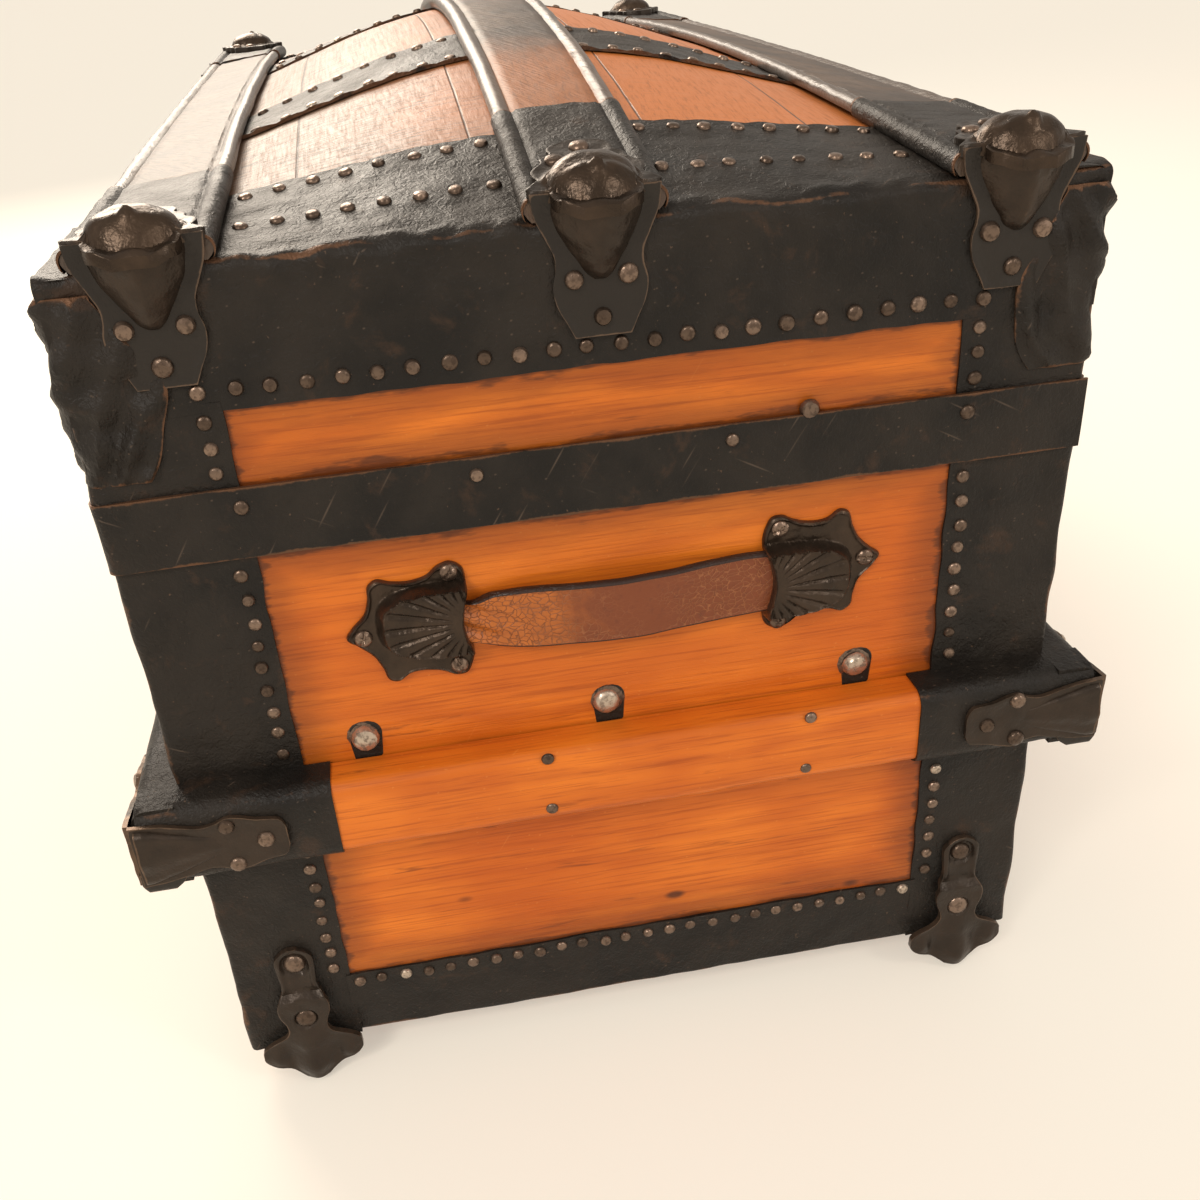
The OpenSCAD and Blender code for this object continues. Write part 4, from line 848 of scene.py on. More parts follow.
def body_slat(a, b, seed, grow=0.0):
    """A slat as a section carried along u from a to b, uneven where it has been knocked. With grow it is
    a sleeve's outside. It is drawn along u, up and outwards."""
    u = steps(a, b, 6)[:, None]
    ring = slat_ring(SLAT_T + grow, SLAT_H + 2 * grow, SLAT_EDGE + grow)
    w, v = ring[None, :, 0], ring[None, :, 1]
    worn = near(np.hypot(w - SLAT_T, np.abs(v) - SLAT_H / 2), reach=5)
    rub = dents(u, v, w, seed, (0.5, 90), (0.4, 22)) * (w > 1)
    knock = worn * 0.8 * lumps(u, v, w, 15, seed + 2)
    high, out = np.sign(v) * (rub * 0.4 + knock * 0.6), rub * 0.6 - np.abs(knock) * 0.5
    return loft(uvw(u + 0 * w, v + high, w + out), edge=worn + 0 * u)


def body_slats():
    """The slats' wood, which ends inside their sleeves."""
    end, side = (-END_SLAT_L, END_SLAT_L), (-SIDE_SLAT_L, SIDE_SLAT_L)
    right = on_end(body_slat(*end, seed=61), 0, SLAT_Z, HALF_L)
    left = mirror(on_end(body_slat(*end, seed=67), 0, SLAT_Z, HALF_L), 0)
    front = on_front(body_slat(*side, seed=71), 0, SLAT_Z, HALF_W)
    back = on_back(body_slat(*side, seed=73), 0, SLAT_Z, HALF_W)
    piece("end_slat_right", [right], SLAT_PINE, "body", ["right_end_slat"])
    piece("end_slat_left", [left], SLAT_PINE, "body", ["left_end_slat"])
    piece("side_slat_front", [front], SIDE_SLAT_PINE, "body", ["front_slat"])
    piece("side_slat_back", [back], SIDE_SLAT_PINE, "body", ["back_slat"])


def sleeves():
    """Sheet sleeves over the slats' ends: the slat's own section grown by the sheet. The end slats' and
    the side slats' run on until they cut into one another inside the corner's bumper."""
    shapes = []
    for k, side in enumerate((1, -1)):
        turned = lambda u, v, w: (u * side, v, w)
        s = body_slat(END_SLAT_L - 5, HALF_W + SLEEVE_OUT, 81 + k, SLEEVE_T)
        shapes += both_ends([on_end(moved(s, turned), 0, SLAT_Z, HALF_L)])
        s = moved(body_slat(SIDE_SLAT_L - 5, HALF_L + SLEEVE_OUT, 85 + k, SLEEVE_T), turned)
        shapes += [on_front(s, 0, SLAT_Z, HALF_W), on_back(s, 0, SLAT_Z, HALF_W)]
    piece("slat_sleeves", shapes, SHEET, "body", ["end_slat_sleeves", "side_slat_sleeves"])


# ---------- domed heads ----------
HEAD_SIDES = 12
HEAD_RINGS, HEAD_LIFTS = (1.0, 0.96, 0.78, 0.45), (0.30, 0.78, 0.97)
HEAD_SINK, HEAD_TILT = 0.6, 0.06


def heads(places, normals, head, seed, bright=0.0):
    """Round heads: the same dome of a few rings at each place, a little turned, tilted and worn. Its
    height falls as a cosine of the distance from its middle. bright is the share worn bright."""
    radius, height = head
    places, normals = np.asarray(places, float), np.asarray(normals, float)
    r = np.random.default_rng(seed)
    n = len(places)
    rings, lift = np.array(HEAD_RINGS)[:, None], np.array((-HEAD_SINK / height,) + HEAD_LIFTS)[:, None]
    a = np.linspace(0, 2 * np.pi, HEAD_SIDES, endpoint=False)
    local = np.stack([rings * np.cos(a), rings * np.sin(a), lift + 0 * a], -1)
    local = np.concatenate([local, np.broadcast_to([0, 0, 1.02], (1, HEAD_SIDES, 3))])
    across = (radius * r.uniform(0.92, 1.08, n))[:, None, None, None]
    tall = (height * r.uniform(0.85, 1.15, n))[:, None, None, None]
    normals = normals + r.normal(size=(n, 3)) * HEAD_TILT
    normals /= np.linalg.norm(normals, axis=1)[:, None]
    other = np.where(np.abs(normals[:, 2:]) < 0.9, [[0, 0, 1.0]], [[1.0, 0, 0]])
    side = np.cross(other, normals)
    side /= np.linalg.norm(side, axis=1)[:, None]
    third = np.cross(normals, side)
    places, normals, side, third = (v[:, None, None] for v in (places, normals, side, third))
    p = places + across * (local[..., :1] * side + local[..., 1:2] * third) + tall * local[..., 2:] * normals
    i = np.arange(0, HEAD_SIDES, 2)
    base = np.stack([i, (i + 1) % HEAD_SIDES, (i + 2) % HEAD_SIDES, 0 * i], -1)[1:-1]
    quads = np.concatenate([cells(len(local), HEAD_SIDES, loop_v=True), base[:, ::-1]])
    count = len(local) * HEAD_SIDES
    faces = (quads[None] + (np.arange(n) * count)[:, None, None]).reshape(-1, 4)
    tint = np.where(r.uniform(size=n) < bright, r.uniform(0.9, 1.0, n), r.uniform(0.0, 0.8, n))
    return shape(p, faces, 0.0, tint.repeat(count))


def jittered(values, amount, seed):
    """The values, each a little off its place."""
    return values + np.random.default_rng(seed).normal(size=np.shape(values)) * amount


def wall_heads(wall, along, up, out, head, seed, bright=0.0):
    """Heads on two facing walls, at places along and up them and at the distance out from the middle:
    on the +X end and, with other wear, on the -X end, or on the back and the front."""
    along, up = np.broadcast_arrays(np.asarray(along, float), np.asarray(up, float))
    p = np.empty(along.shape + (3,))
    p[:, wall], p[:, 1 - wall], p[:, 2] = out, jittered(along, 0.45, seed), jittered(up, 0.45, seed + 1)
    n = np.zeros_like(p)
    n[:, wall] = 1
    return [heads(p, n, head, seed, bright), mirror(heads(p, n, head, seed + 5, bright), wall)]


def body_nail_heads():
    """Rows of nails along the foot, and columns up the corners that leave out the slats and the strap."""
    foot_z = FOOT_Z + FOOT_H - 6
    low = steps(FOOT_Z + FOOT_H + 8, SLAT_Z - SLAT_H / 2 - 11, FOOT_PITCH)
    high = steps(SLAT_Z + SLAT_H / 2 + 11, STRAP_LOW - 10, FOOT_PITCH)
    column = np.concatenate([low, high])
    ys = steps(-COLUMN_Y + 14, COLUMN_Y - 14, FOOT_PITCH)
    xs = steps(-COLUMN_X + 14, COLUMN_X - 14, NAIL_PITCH)
    shapes = wall_heads(END, ys, foot_z, HALF_L, NAIL, seed=101, bright=0.10)
    shapes += wall_heads(SIDE, xs, foot_z, HALF_W, NAIL, seed=111, bright=0.1)
    for k, side in enumerate((1, -1)):
        shapes += wall_heads(END, side * COLUMN_Y, column, HALF_L, NAIL, seed=121 + 10 * k, bright=0.05)
        shapes += wall_heads(SIDE, side * COLUMN_X, column, HALF_W, NAIL, seed=141 + 10 * k, bright=0.05)
    piece("body_nail_heads", shapes, NAILS, "body", ["body_nails"])


# ---------- plates with a wavy outline ----------
def strip(v, left, right, relief, thick, across=21, lip=0.0, tint=0.0):
    """A plate along v whose outline runs from left(v) to right(v): a closed slab with its upper face at
    relief(u, v) and a raised lip along its sides. It is drawn across, up and outwards."""
    t = np.linspace(-1, 1, across)[None, :]
    t = np.sign(t) * np.abs(t) ** 0.75
    v = v[:, None]
    l, r = left[:, None], right[:, None]
    u = l + (r - l) * (t + 1) / 2
    side = np.minimum(u - l, r - u)
    ends = np.minimum(v - v.min(), v.max() - v)
    gap = np.minimum(side, ends)
    w = relief(u, v + 0 * t) + lip * np.exp(-gap / 1.6) - 0.8 * np.exp(-gap / 0.45)
    return slab(uvw(u, v + 0 * t, w), uvw(u, v + 0 * t, w - thick), near(gap, reach=1.3), tint)


# ---------- cast bumpers at the corners of the body slats ----------
ARM_OUT, ARM_L = SLAT_T + 1.6, 78
ARM_AT = (0, 12, 24, 36, 43, 49, 56, 64, 72, 78)
ARM_HALF = (19.5, 18.5, 16.2, 13.4, 14.6, 17.2, 16.2, 13.6, 12.6, 11.4)
HORN_L, HORN_R, HORN_RISE = 50, 15.5, 6.4
BALL_R = 18.2
BUMPER_TINT = 0.5
BUMPER_RIVETS = np.array([(49, 12.5), (49, -12.5), (66, 0)])    # from the corner, and up


def bumper_arm(seed, horn):
    """One arm of a corner bumper, drawn with u from the corner inwards, up and outwards: a wavy-edged
    plate, and over it a horn that swells towards the corner, ribbed as a cosine across it."""
    u = steps(0, ARM_L, 1.6)
    half = through(u, ARM_AT, ARM_HALF) * rounded(u, 74, 4.6)
    plate = strip(u, -half, half, lambda a, b: PLATE + 0.3 * lumps(a, b, 0 * a, 12, seed), PLATE, 19, 0.9,
                  BUMPER_TINT)
    plate = moved(plate, lambda a, b, c: (b, a, c))
    if not horn:
        return [plate]
    s = steps(2.5, 47, 1.8)[:, None]
    a = np.linspace(-np.pi / 2, np.pi / 2, 17)[None, :]
    swell = np.clip((HORN_L - s) / 44, 0, 1) ** 0.85
    z = (2.0 + HORN_R * swell) * np.sin(a)
    dome = (0.3 + HORN_RISE * swell ** 0.9) * np.cos(a) ** 0.75
    w = 1.0 + dome + (0.7 * np.cos(6 * a) + 0.3 * lumps(s, z, 0 * z, 11, seed + 3)) * swell
    top = uvw(s + 0 * a, z, np.maximum(w, 1.0))
    under = uvw(s + 0 * a, z, 0 * w)
    # The horn's end and its crest are marked as edge, which the cast metal lightens: rubbed metal, and a
    # painted highlight.
    return [plate, slab(top, under, 1.1 * bell(s, 2.5, 1.2) + 0.25 * np.cos(a) * swell, BUMPER_TINT)]


def corner_bumper(seed):
    """The bumper at +X +Y: an arm on the end slat, an arm on the side slat, the ball that joins them and
    a flange hanging below it."""
    arm_x, arm_y = HALF_L + ARM_OUT, HALF_W + ARM_OUT
    on_end_slat = lambda u, v, w: (arm_x + w, arm_y - u, SLAT_Z + v)
    on_side_slat = lambda u, v, w: (arm_x - u, arm_y + w, SLAT_Z + v)
    shapes = [moved(s, on_end_slat) for s in bumper_arm(seed, horn=True)]
    shapes += [moved(s, on_side_slat) for s in bumper_arm(seed + 9, horn=False)]
    lat = np.linspace(-np.pi / 2, np.pi / 2, 19)[:, None]
    lon = np.linspace(0, 2 * np.pi, 32, endpoint=False)[None, :]
    r = BALL_R + 0.35 * lumps(15 * np.cos(lon), 15 * np.sin(lon), 15 * np.sin(lat), 14, seed + 5)
    ball = uvw(arm_x - 13 + r * np.cos(lat) * np.cos(lon), arm_y - 14 + r * np.cos(lat) * np.sin(lon),
               SLAT_Z + r * 1.08 * np.sin(lat))
    v = steps(-24, -12, 1.5)
    left, right = through(v, [-24, -21, -12], [3, 1, 0]), through(v, [-24, -20, -12], [17, 22, 24])
    tab = strip(v, left, right, lambda a, b: PLATE - 0.3 + 0 * a, PLATE + 2, 11)
    tab = moved(tab, lambda u, v, w: (arm_x + w, arm_y + 1.5 - u, SLAT_Z + v))
    return shapes + [loft(ball, edge=0.45, tint=BUMPER_TINT), tab]


def corner_bumpers():
    """The four corner bumpers, their rivets, and the nails through the end slats."""
    for k, corner in enumerate(CORNERS):
        label = ("right" if corner[0] > 0 else "left") + ("_back" if corner[1] > 0 else "_front")
        shapes = at_corner(corner_bumper(seed=201 + 20 * k), corner)
        piece("bumper_" + label, shapes, CAST, "body", ["slat_bumper_" + label])
    rivets = []
    inwards, up = BUMPER_RIVETS[:, 0], SLAT_Z + BUMPER_RIVETS[:, 1]
    out = ARM_OUT + PLATE - 0.2
    for k, side in enumerate((1, -1)):
        ys, xs = side * (HALF_W + ARM_OUT - inwards), side * (HALF_L + ARM_OUT - inwards)
        rivets += wall_heads(END, ys, up, HALF_L + out, BUMPER_RIVET, seed=231 + 10 * k, bright=0.1)
        rivets += wall_heads(SIDE, xs, up, HALF_W + out, BUMPER_RIVET, seed=251 + 10 * k, bright=0.1)
    slat_z = [SLAT_Z + 20, SLAT_Z - 14, SLAT_Z + 20, SLAT_Z - 14]
    rivets += wall_heads(END, [-46, -46, 97, 97], slat_z, HALF_L + SLAT_T - 0.4, SLAT_NAIL, seed=271)
    piece("bumper_rivets", rivets, NAILS, "body", ["slat_rivets"])


# ---------- handles ----------
MOUTH_Y = 77.5                  # from the handle's middle to where the leather enters a cap
CAP_RAISED = (0.5, 3.0)         # how far each cap sits above the leather's middle
CAP_OUTLINE = ((-1, 17), (0.5, 28), (4, 33.5), (9, 34), (15, 31), (24, 28.5), (33, 29), (40, 33), (43.5, 32),
               (46.5, 24), (50, 16.5), (57, 9), (62, 4.5), (58.5, -1), (51.5, -8), (48.5, -17), (47.5, -23.5),
               (43.5, -26.5), (36, -24.5), (27, -23.5), (18, -25.5), (12, -30), (6, -31.5), (0.5, -28),
               (-1, -20), (1.2, -10), (2.6, 0), (1.2, 10))
CAP_MIDDLE = (22.0, -1.5)
CAP_SCREWS = ((7.5, 27.5), (53.5, 4.3), (7, -26.5))
SHELL_RISE, SHELL_RIBS = 8.5, 14
SCREW_RADII = (4.6, 4.6, 4.278, 3.68, 2.852, 1.932, 0.92)
SCREW_UP = (-0.8, 0.9, 1.4, 1.9, 2.3, 2.5, 2.6)


def closed_curve(points, n):
    """n points, evenly spaced, on a smooth closed curve through the given ones."""
    p = np.array(points + points[:1], float)
    far = np.concatenate([[0], np.cumsum(np.hypot(*np.diff(p, axis=0).T))])
    wide = np.concatenate([far[:-1] - far[-1], far, far[1:] + far[-1]])
    many = np.concatenate([p[:-1], p, p[1:]])
    t = np.linspace(0, far[-1], n, endpoint=False)
    return np.stack([through(t, wide, many[:, 0]), through(t, wide, many[:, 1])], -1)


def shell_inside(u, v):
    """1 in a handle cap's shell, falling to 0 at its border: a flattened ellipse, cut at the mouth."""
    return 1 - (np.maximum(u - 9, 0) / 38) ** 2.6 - np.abs((v + 1.5) / 20.5) ** 3.4


def cap_relief(u, v):
    """Height of a handle cap: a plate, and on it a raised shell whose ribs fan out from the mouth and
    deepen towards its round rim."""
    inside = shell_inside(u, v)
    du, dv = u + 1.5, v + 1.5
    ribs = -bell(np.sin(np.arctan2(dv, du) * SHELL_RIBS), 0, 0.55)
    deep = smooth_step(np.hypot(du, dv), 4, 20) * smooth_step(inside, 0.22, 0.36)
    shell = smooth_step(inside, 0.0, 0.34) * (SHELL_RISE + 1.6 * bell(u, 8, 16))
    return PLATE + shell + ribs * 1.4 * deep + 0.9 * bell(inside, 0.30, 0.06)


def handle_cap(seed):
    """A cap drawn away from the handle's middle, up and outwards: rings drawn in from the outline to a
    point in the shell, at the relief's height, over a flat back."""
    share = np.concatenate([[1.0, 0.985, 0.955], np.linspace(0.93, 0.03, 46)])[:, None]
    p = CAP_MIDDLE + (closed_curve(CAP_OUTLINE, 220)[None] - CAP_MIDDLE) * share[..., None]
    u, v = p[..., 0], p[..., 1]
    w = cap_relief(u, v) + 0.9 * bell(share, 0.955, 0.02) - 1.2 * (share > 0.995)
    w = w + 0.22 * lumps(u, v, 0 * u, 6, seed)
    body = np.concatenate([uvw(u[:1], v[:1], 0 * w[:1]), uvw(u, v, w)])
    rim = np.exp(-((1 - share) * 30) / 1.8)
    # The cap's outline and the ridge round its shell are marked as edge, which the cast metal lightens:
    # rubbed metal, and a painted highlight on the ridge.
    edge = np.concatenate([rim[:1], rim]) + 0.8 * bell(shell_inside(body[..., 0], body[..., 1]), 0.30, 0.05)
    return loft(body, edge=edge, tint=0.8)


def screw_head(seed):
    """A domed head with a slot: the slot is a groove across the dome."""
    a = np.linspace(0, 2 * np.pi, 24, endpoint=False)[None, :]
    radii, up = np.array(SCREW_RADII)[:, None], np.array(SCREW_UP)[:, None]
    u, v = radii * np.cos(a), radii * np.sin(a)
    turn = np.random.default_rng(seed).uniform(0, np.pi)
    off = np.abs(u * np.sin(turn) - v * np.cos(turn))
    w = up - 0.9 * (off < 0.75) * (up > 1.0)
    return loft(uvw(u, v, w), tint=np.random.default_rng(seed + 1).uniform(0.25, 0.85))


def strap_leather(worn_end, seed):
    """The handle's leather, drawn along u, up and outwards: a bowed strap with rounded dark rims, pinched
    and creased where it enters the cap at its worn end."""
    u = steps(-MOUTH_Y - 16, MOUTH_Y + 16, 2.2)[:, None]
    t = np.linspace(-1, 1, 41)[None, :]
    off = np.abs(t)
    pinch = bell(u * worn_end, -MOUTH_Y - 2, 17)
    half = 17.5 - 6.2 * pinch + 0.35 * lumps(u, 0 * u, 0 * u, 26, seed)
    v = half * t - 0.6 * bell(u, 0, 40) + 1.5 * pinch
    bow = 6.5 * np.cos(np.clip(u / MOUTH_Y, -1, 1) * np.pi / 2) ** 2
    crease = pinch * 1.8 * np.sin(v * 0.55 + u * 0.25) + 0.35 * lumps(u, v, 0 * u, 30, seed + 1)
    roll = 0.7 * bell(off, 0.90, 0.07) - 1.6 * smooth_step(off, 0.93, 1.0)
    cup = -1.2 * t**2
    base = 3.4 + bow
    top = uvw(u + 0 * t, v, base + 4.4 + crease + roll + cup)
    under = uvw(u + 0 * t, v, base + crease + cup * 0.6 + 0.9 * smooth_step(off, 0.93, 1.0))
    rim = smooth_step(off, 0.84, 0.92) + 0 * u
    warm = smooth_step(-u * worn_end, -30, 75) + 0 * t
    return slab(top, under, rim, warm)


def handles():
    """The two handles. Each has two caps, one turned half round, and their three screws."""
    for name, end in (("right", 1), ("left", -1)):
        caps, screws = [], []
        for k, side in enumerate((1, -1)):
            z = HANDLE_Z + CAP_RAISED[k]
            turned = lambda u, v, w: (side * (MOUTH_Y + u), side * v, w)
            caps.append(on_end(moved(handle_cap(seed=301 + k), turned), 0, z, WOOD_X))
            for j, (u, v) in enumerate(CAP_SCREWS):
                screw = screw_head(seed=311 + 7 * j + 31 * k)
                screws.append(on_end(screw, side * (MOUTH_Y + u), z + side * v, WOOD_X + PLATE))
        strap = [on_end(strap_leather(end, seed=331), 0, HANDLE_Z, WOOD_X)]
        caps, screws, strap = (at_corner(shapes, (end, 1)) for shapes in (caps, screws, strap))
        piece("handle_caps_" + name, caps, CAST, "body", [name + "_handle_caps"])
        piece("handle_strap_" + name, strap, LEATHER, "body", [name + "_handle_leather"], sharp=60)
        stands = ["handle_screws"] if name == "right" else []
        piece("cap_screws_" + name, screws, NAILS, "body", stands)


BOLT_YS = np.array([-140, -9, 130.0])
BOLT_Z = SLAT_Z + SLAT_H / 2 + 13
TAB_T = 0.7


def large_bolts():
    """Three shiny round bolts above each end slat, each on a washer, with a small tab of the sheet that
    lies behind them."""
    shapes = wall_heads(END, BOLT_YS, BOLT_Z, WOOD_X + 1.2, BOLT, seed=341, bright=1.0)
    shapes += wall_heads(END, BOLT_YS, BOLT_Z, WOOD_X - 0.2, WASHER, seed=347)
    piece("large_bolt_heads", shapes, NAILS, "body", ["end_bolts"])
    v = steps(-14, 9.6, 1.5)
    half = (8.2 + 0.1 * v) * rounded(v, 1, 8.7)
    tab = strip(v, -half, half + 1.5, lambda a, b: TAB_T + 0 * a, TAB_T, 13)
    piece("bolt_tabs", both_ends([on_end(tab, y, BOLT_Z, WOOD_X) for y in BOLT_YS]), SHEET, "body")


# ---------- casters ----------
CASTER_AT = (-19, -16, -12, -8, -4, 0, 4, 8, 12, 16, 22, 30, 37, 42, 45, 50, 66, 72, 78)
CASTER_HALF = (7, 11, 17, 26, 29.4, 29.6, 29, 24, 15.5, 12.2, 11.8, 14.5, 15, 13, 11.2, 10.5, 11.2, 11, 8.5)
UPPER_PIT, LOWER_PIT = 66, 26   # heights of the two recesses over the trunk's underside
CHEEK_Y, CHEEK_R = 9.4 + 1.5, 7.5


def caster_relief(u, z, seed):
    """Height of a caster bracket's face: a step out to the lower part, a rounded nose between two
    hollows at its foot, two round recesses, and low walls beside the upper one."""
    off = np.abs(u)
    step = smooth_step(-z, -44 - 3 * bell(u, 0, 5), -41)
    nose = 4.6 * bell(u, 0, 8) * smooth_step(-z, -24, -6) + 3.4 * bell(z, -10, 8) * bell(u, 0, 12)
    nose = nose + 2.4 * bell(off, 22, 5) * bell(z, -3, 7) - 1.6 * bell(off, 14, 3.5) * bell(z, -4, 9)
    pits = 2.2 * smooth_step(-np.hypot(u, (z - UPPER_PIT) * 0.92), -9.0, -7.2)
    pits = pits + 2.0 * smooth_step(-np.hypot(u, (z - LOWER_PIT) * 1.05), -7.6, -6.0)
    wall = 1.1 * bell(off, 8.8, 1.5) * smooth_step(z, 45, 50) * smooth_step(-z, -74, -66)
    return 3.6 + 4.4 * step + nose * step - pits + wall + 0.35 * lumps(u, z, 0 * u, 12, seed)


def caster_plate(seed):
    """The face of a caster bracket, drawn across, up and outwards: a round-topped tongue, a waist, and a
    wide foot."""
    v = np.concatenate([steps(-19, -8, 1.1), steps(-7, 78, 1.6)])
    half = through(v, CASTER_AT, CASTER_HALF) * rounded(v, 68.5, 9.8)
    return strip(v, -half, half, lambda u, z: caster_relief(u, z, seed), 3.4, 41, 0.9, 0.45)


def fork_cheek(side):
    """One side of the fork over a roller: a rounded plate from the trunk's underside to the axle."""
    a = np.linspace(0, np.pi, 17)
    round_end = np.stack([ROLLER_X - CHEEK_R * np.cos(a), AXLE_Z - CHEEK_R * np.sin(a)], -1)
    outline = np.concatenate([[[ROLLER_X - CHEEK_R - 1, FOOT_Z + 0.5]], round_end, [[HALF_L + 3, AXLE_Z + 2]],
                              [[HALF_L + 3, FOOT_Z + 0.5]]])
    middle = outline.mean(0)
    share, out = np.array([(0.9, -1.5), (1.0, -1.1), (1.0, 1.1), (0.9, 1.5)]).T[..., None]
    p = middle + (outline - middle) * share[..., None]
    return loft(uvw(p[..., 0], ROLLER_Y + side * CHEEK_Y + out, p[..., 1]), edge=0.3)


def casters():
    """The four brackets with the forks over their rollers, and two bolts on each bracket's face."""
    plates, rivets = [], []
    for k, corner in enumerate(CORNERS):
        face = on_end(caster_plate(seed=351 + 5 * k), ROLLER_Y, FOOT_Z, HALF_L + 0.1)
        plates += at_corner([face, fork_cheek(1), fork_cheek(-1)], corner)
        places = [[HALF_L + 1.4, ROLLER_Y, FOOT_Z + UPPER_PIT], [HALF_L + 6.0, ROLLER_Y, FOOT_Z + LOWER_PIT]]
        rivets += at_corner([heads(places, [[1.0, 0, 0.1]] * 2, CASTER_BOLT, seed=371 + k)], corner)
    piece("caster_plates", plates, CAST, "body", ["caster_brackets"])
    piece("caster_rivets", rivets, NAILS, "body")


# ---------- sheet metal and boards of the lid ----------
CROWN_BOARD_T = 9
STRAP_R = 5.0
FOLD_HALF = 42                  # each side of a corner fold, from the corner
FOLD_T = 1.1


def crown_board():
    """The crowned top as a smooth board between its two faces. Its upper face is marked as weathered."""
    x = steps(9 - WOOD_X, WOOD_X - 9, 9)[:, None]
    y = steps(9 - WOOD_Y, WOOD_Y - 9, 7)[None, :]
    z = crown(x, y) - METAL
    dip = 0.25 * lumps(x, y, 0 * x, 45, 401)
    board = slab(uvw(x, y, z + dip - 0.2), uvw(x, y, z - CROWN_BOARD_T))
    board["tint"][:z.size] = 1
    piece("crown_top", [board], CROWN_WOOD, "lid", ["lid_top_board"])


def lift_to_crown(s, x, y, length):
    """How far a sheet that has turned over the lid's edge at s = 0 rises with the crown."""
    rise = crown(np.clip(x, -HALF_L, HALF_L), np.clip(y, -HALF_W, HALF_W)) - LID_TOP
    return np.where(s > 0, rise, 0) * smooth_step(s, 0, length)


def end_cover(seed):
    """The sheet over an end of the lid: up the wall, round a crumpled edge and over the crown to a wavy
    border. It is worked out for the +X end."""
    y = steps(-HALF_W, HALF_W, 3.6)[:, None]
    s = np.concatenate([steps(RIM_Z - LID_TOP, -12, 4), steps(-10, 10, 1.4), steps(12, END_WRAP, 4)])[None, :]
    low, high = s.min(), s.max()
    border, foot = near(high - s, reach=6), near(s - low, reach=5)
    s_wavy = s + border * (1.6 * scallops(y) + wavy(y, 30, 0.8, seed)) + foot * wavy(y, 26, 0.6, seed + 1)
    out, up, nx, nz = bend(s_wavy, END_R)
    x, z = HALF_L + out, LID_TOP + up
    lift = lift_to_crown(s, x, y, 6)
    crumple = lumps(y, 0 * y, 0 * y, 34, seed + 2)
    knocked = bell(s, 0, 9) * (1.6 * crumple + 1.3 * lumps(x, y, z, 13, seed + 5) + 0.4)
    h = dents(x, y, z, seed + 3, (0.4, 64), (0.4, 20)) + knocked + 0.6 * border + 0.4 * foot
    h = np.maximum(h, -0.9)
    top = uvw(x + nx * h, y, z + lift + nz * h)
    under = uvw(x - nx * METAL, y, z + lift - nz * METAL)
    worn = 0.5 * near(high - s + 0 * y, s - low + 0 * y, reach=2) + 0.88 * bell(s - 2.0 * crumple, 1.0, 2.6)
    return slab(top, under, worn)


def side_cover(seed):
    """The sheet over the back edge of the lid, between the ends' sheets."""
    x = steps(-HALF_L + 1, HALF_L - 1, 5)[:, None]
    s = np.concatenate([steps(RIM_Z - LID_TOP, -10, 5), steps(-8, 8, 1.6), steps(10, SIDE_WRAP, 4)])[None, :]
    low, high = s.min(), s.max()
    border, foot = near(high - s, reach=5), near(s - low, reach=5)
    s_wavy = s + border * (1.2 * scallops(x)) + foot * wavy(x, 26, 0.6, seed)
    out, up, ny, nz = bend(s_wavy, SIDE_R)
    y, z = HALF_W + out, LID_TOP + up
    lift = lift_to_crown(s, x, y, 5)
    knocked = bell(s, 0, 8) * (0.9 * lumps(x, y, z, 24, seed + 5) - 0.5)
    h = dents(x, y, z, seed + 3, (0.4, 64), (0.35, 20)) + knocked - 0.5 * (np.abs(x) > WRAP_X)
    top = uvw(x, y + ny * h, z + lift + nz * h)
    under = uvw(x, y - ny * METAL, z + lift - nz * METAL)
    return slab(top, under, 0.5 * near(high - s + 0 * x, s - low + 0 * x, reach=2) + 0.9 * bell(s, 0, 3.2))


def corner_fold(seed):
    """A folded flap of sheet round an upper corner of the lid, at +X +Y: it hugs the corner and stands
    off it in sharp slanting pleats, whose height is a triangle wave along the slant."""
    s = steps(-FOLD_HALF, FOLD_HALF, 2.0)[:, None]
    z = steps(RIM_Z - 30, LID_TOP - 8, 2.4)[None, :]
    low, high = z.min(), z.max()
    share = np.clip((z - low) / (high - low) * 0.9 + 0.12, 0, 1)
    reach = 0.45 + 0.55 * np.sin(np.pi * share) + 0.10 * lumps(0 * z, 0 * z, z, 26, seed)
    out, up, nx, ny = bend(s * reach, FOLD_R)
    x, y = HALF_L + out, HALF_W + up
    pleat = np.abs(((s + 0.62 * z + 9 * lumps(x, y, z, 60, seed + 1)) / 12.5) % 2 - 1)
    h = 1.2 + 4.6 * pleat**1.3 + 1.1 * lumps(x, y, z, 13, seed + 2)
    border = near(FOLD_HALF - np.abs(s) + 0 * z, z - low + 0 * s, high - z + 0 * s, reach=3)
    h = h * (1 - 0.75 * border) + 0.6 * border
    top = uvw(x + nx * h, y + ny * h, z)
    under = uvw(x + nx * (h - FOLD_T), y + ny * (h - FOLD_T), z)
    return slab(top, under, 0.9 * border + 0.4 * bell(pleat, 1, 0.16))


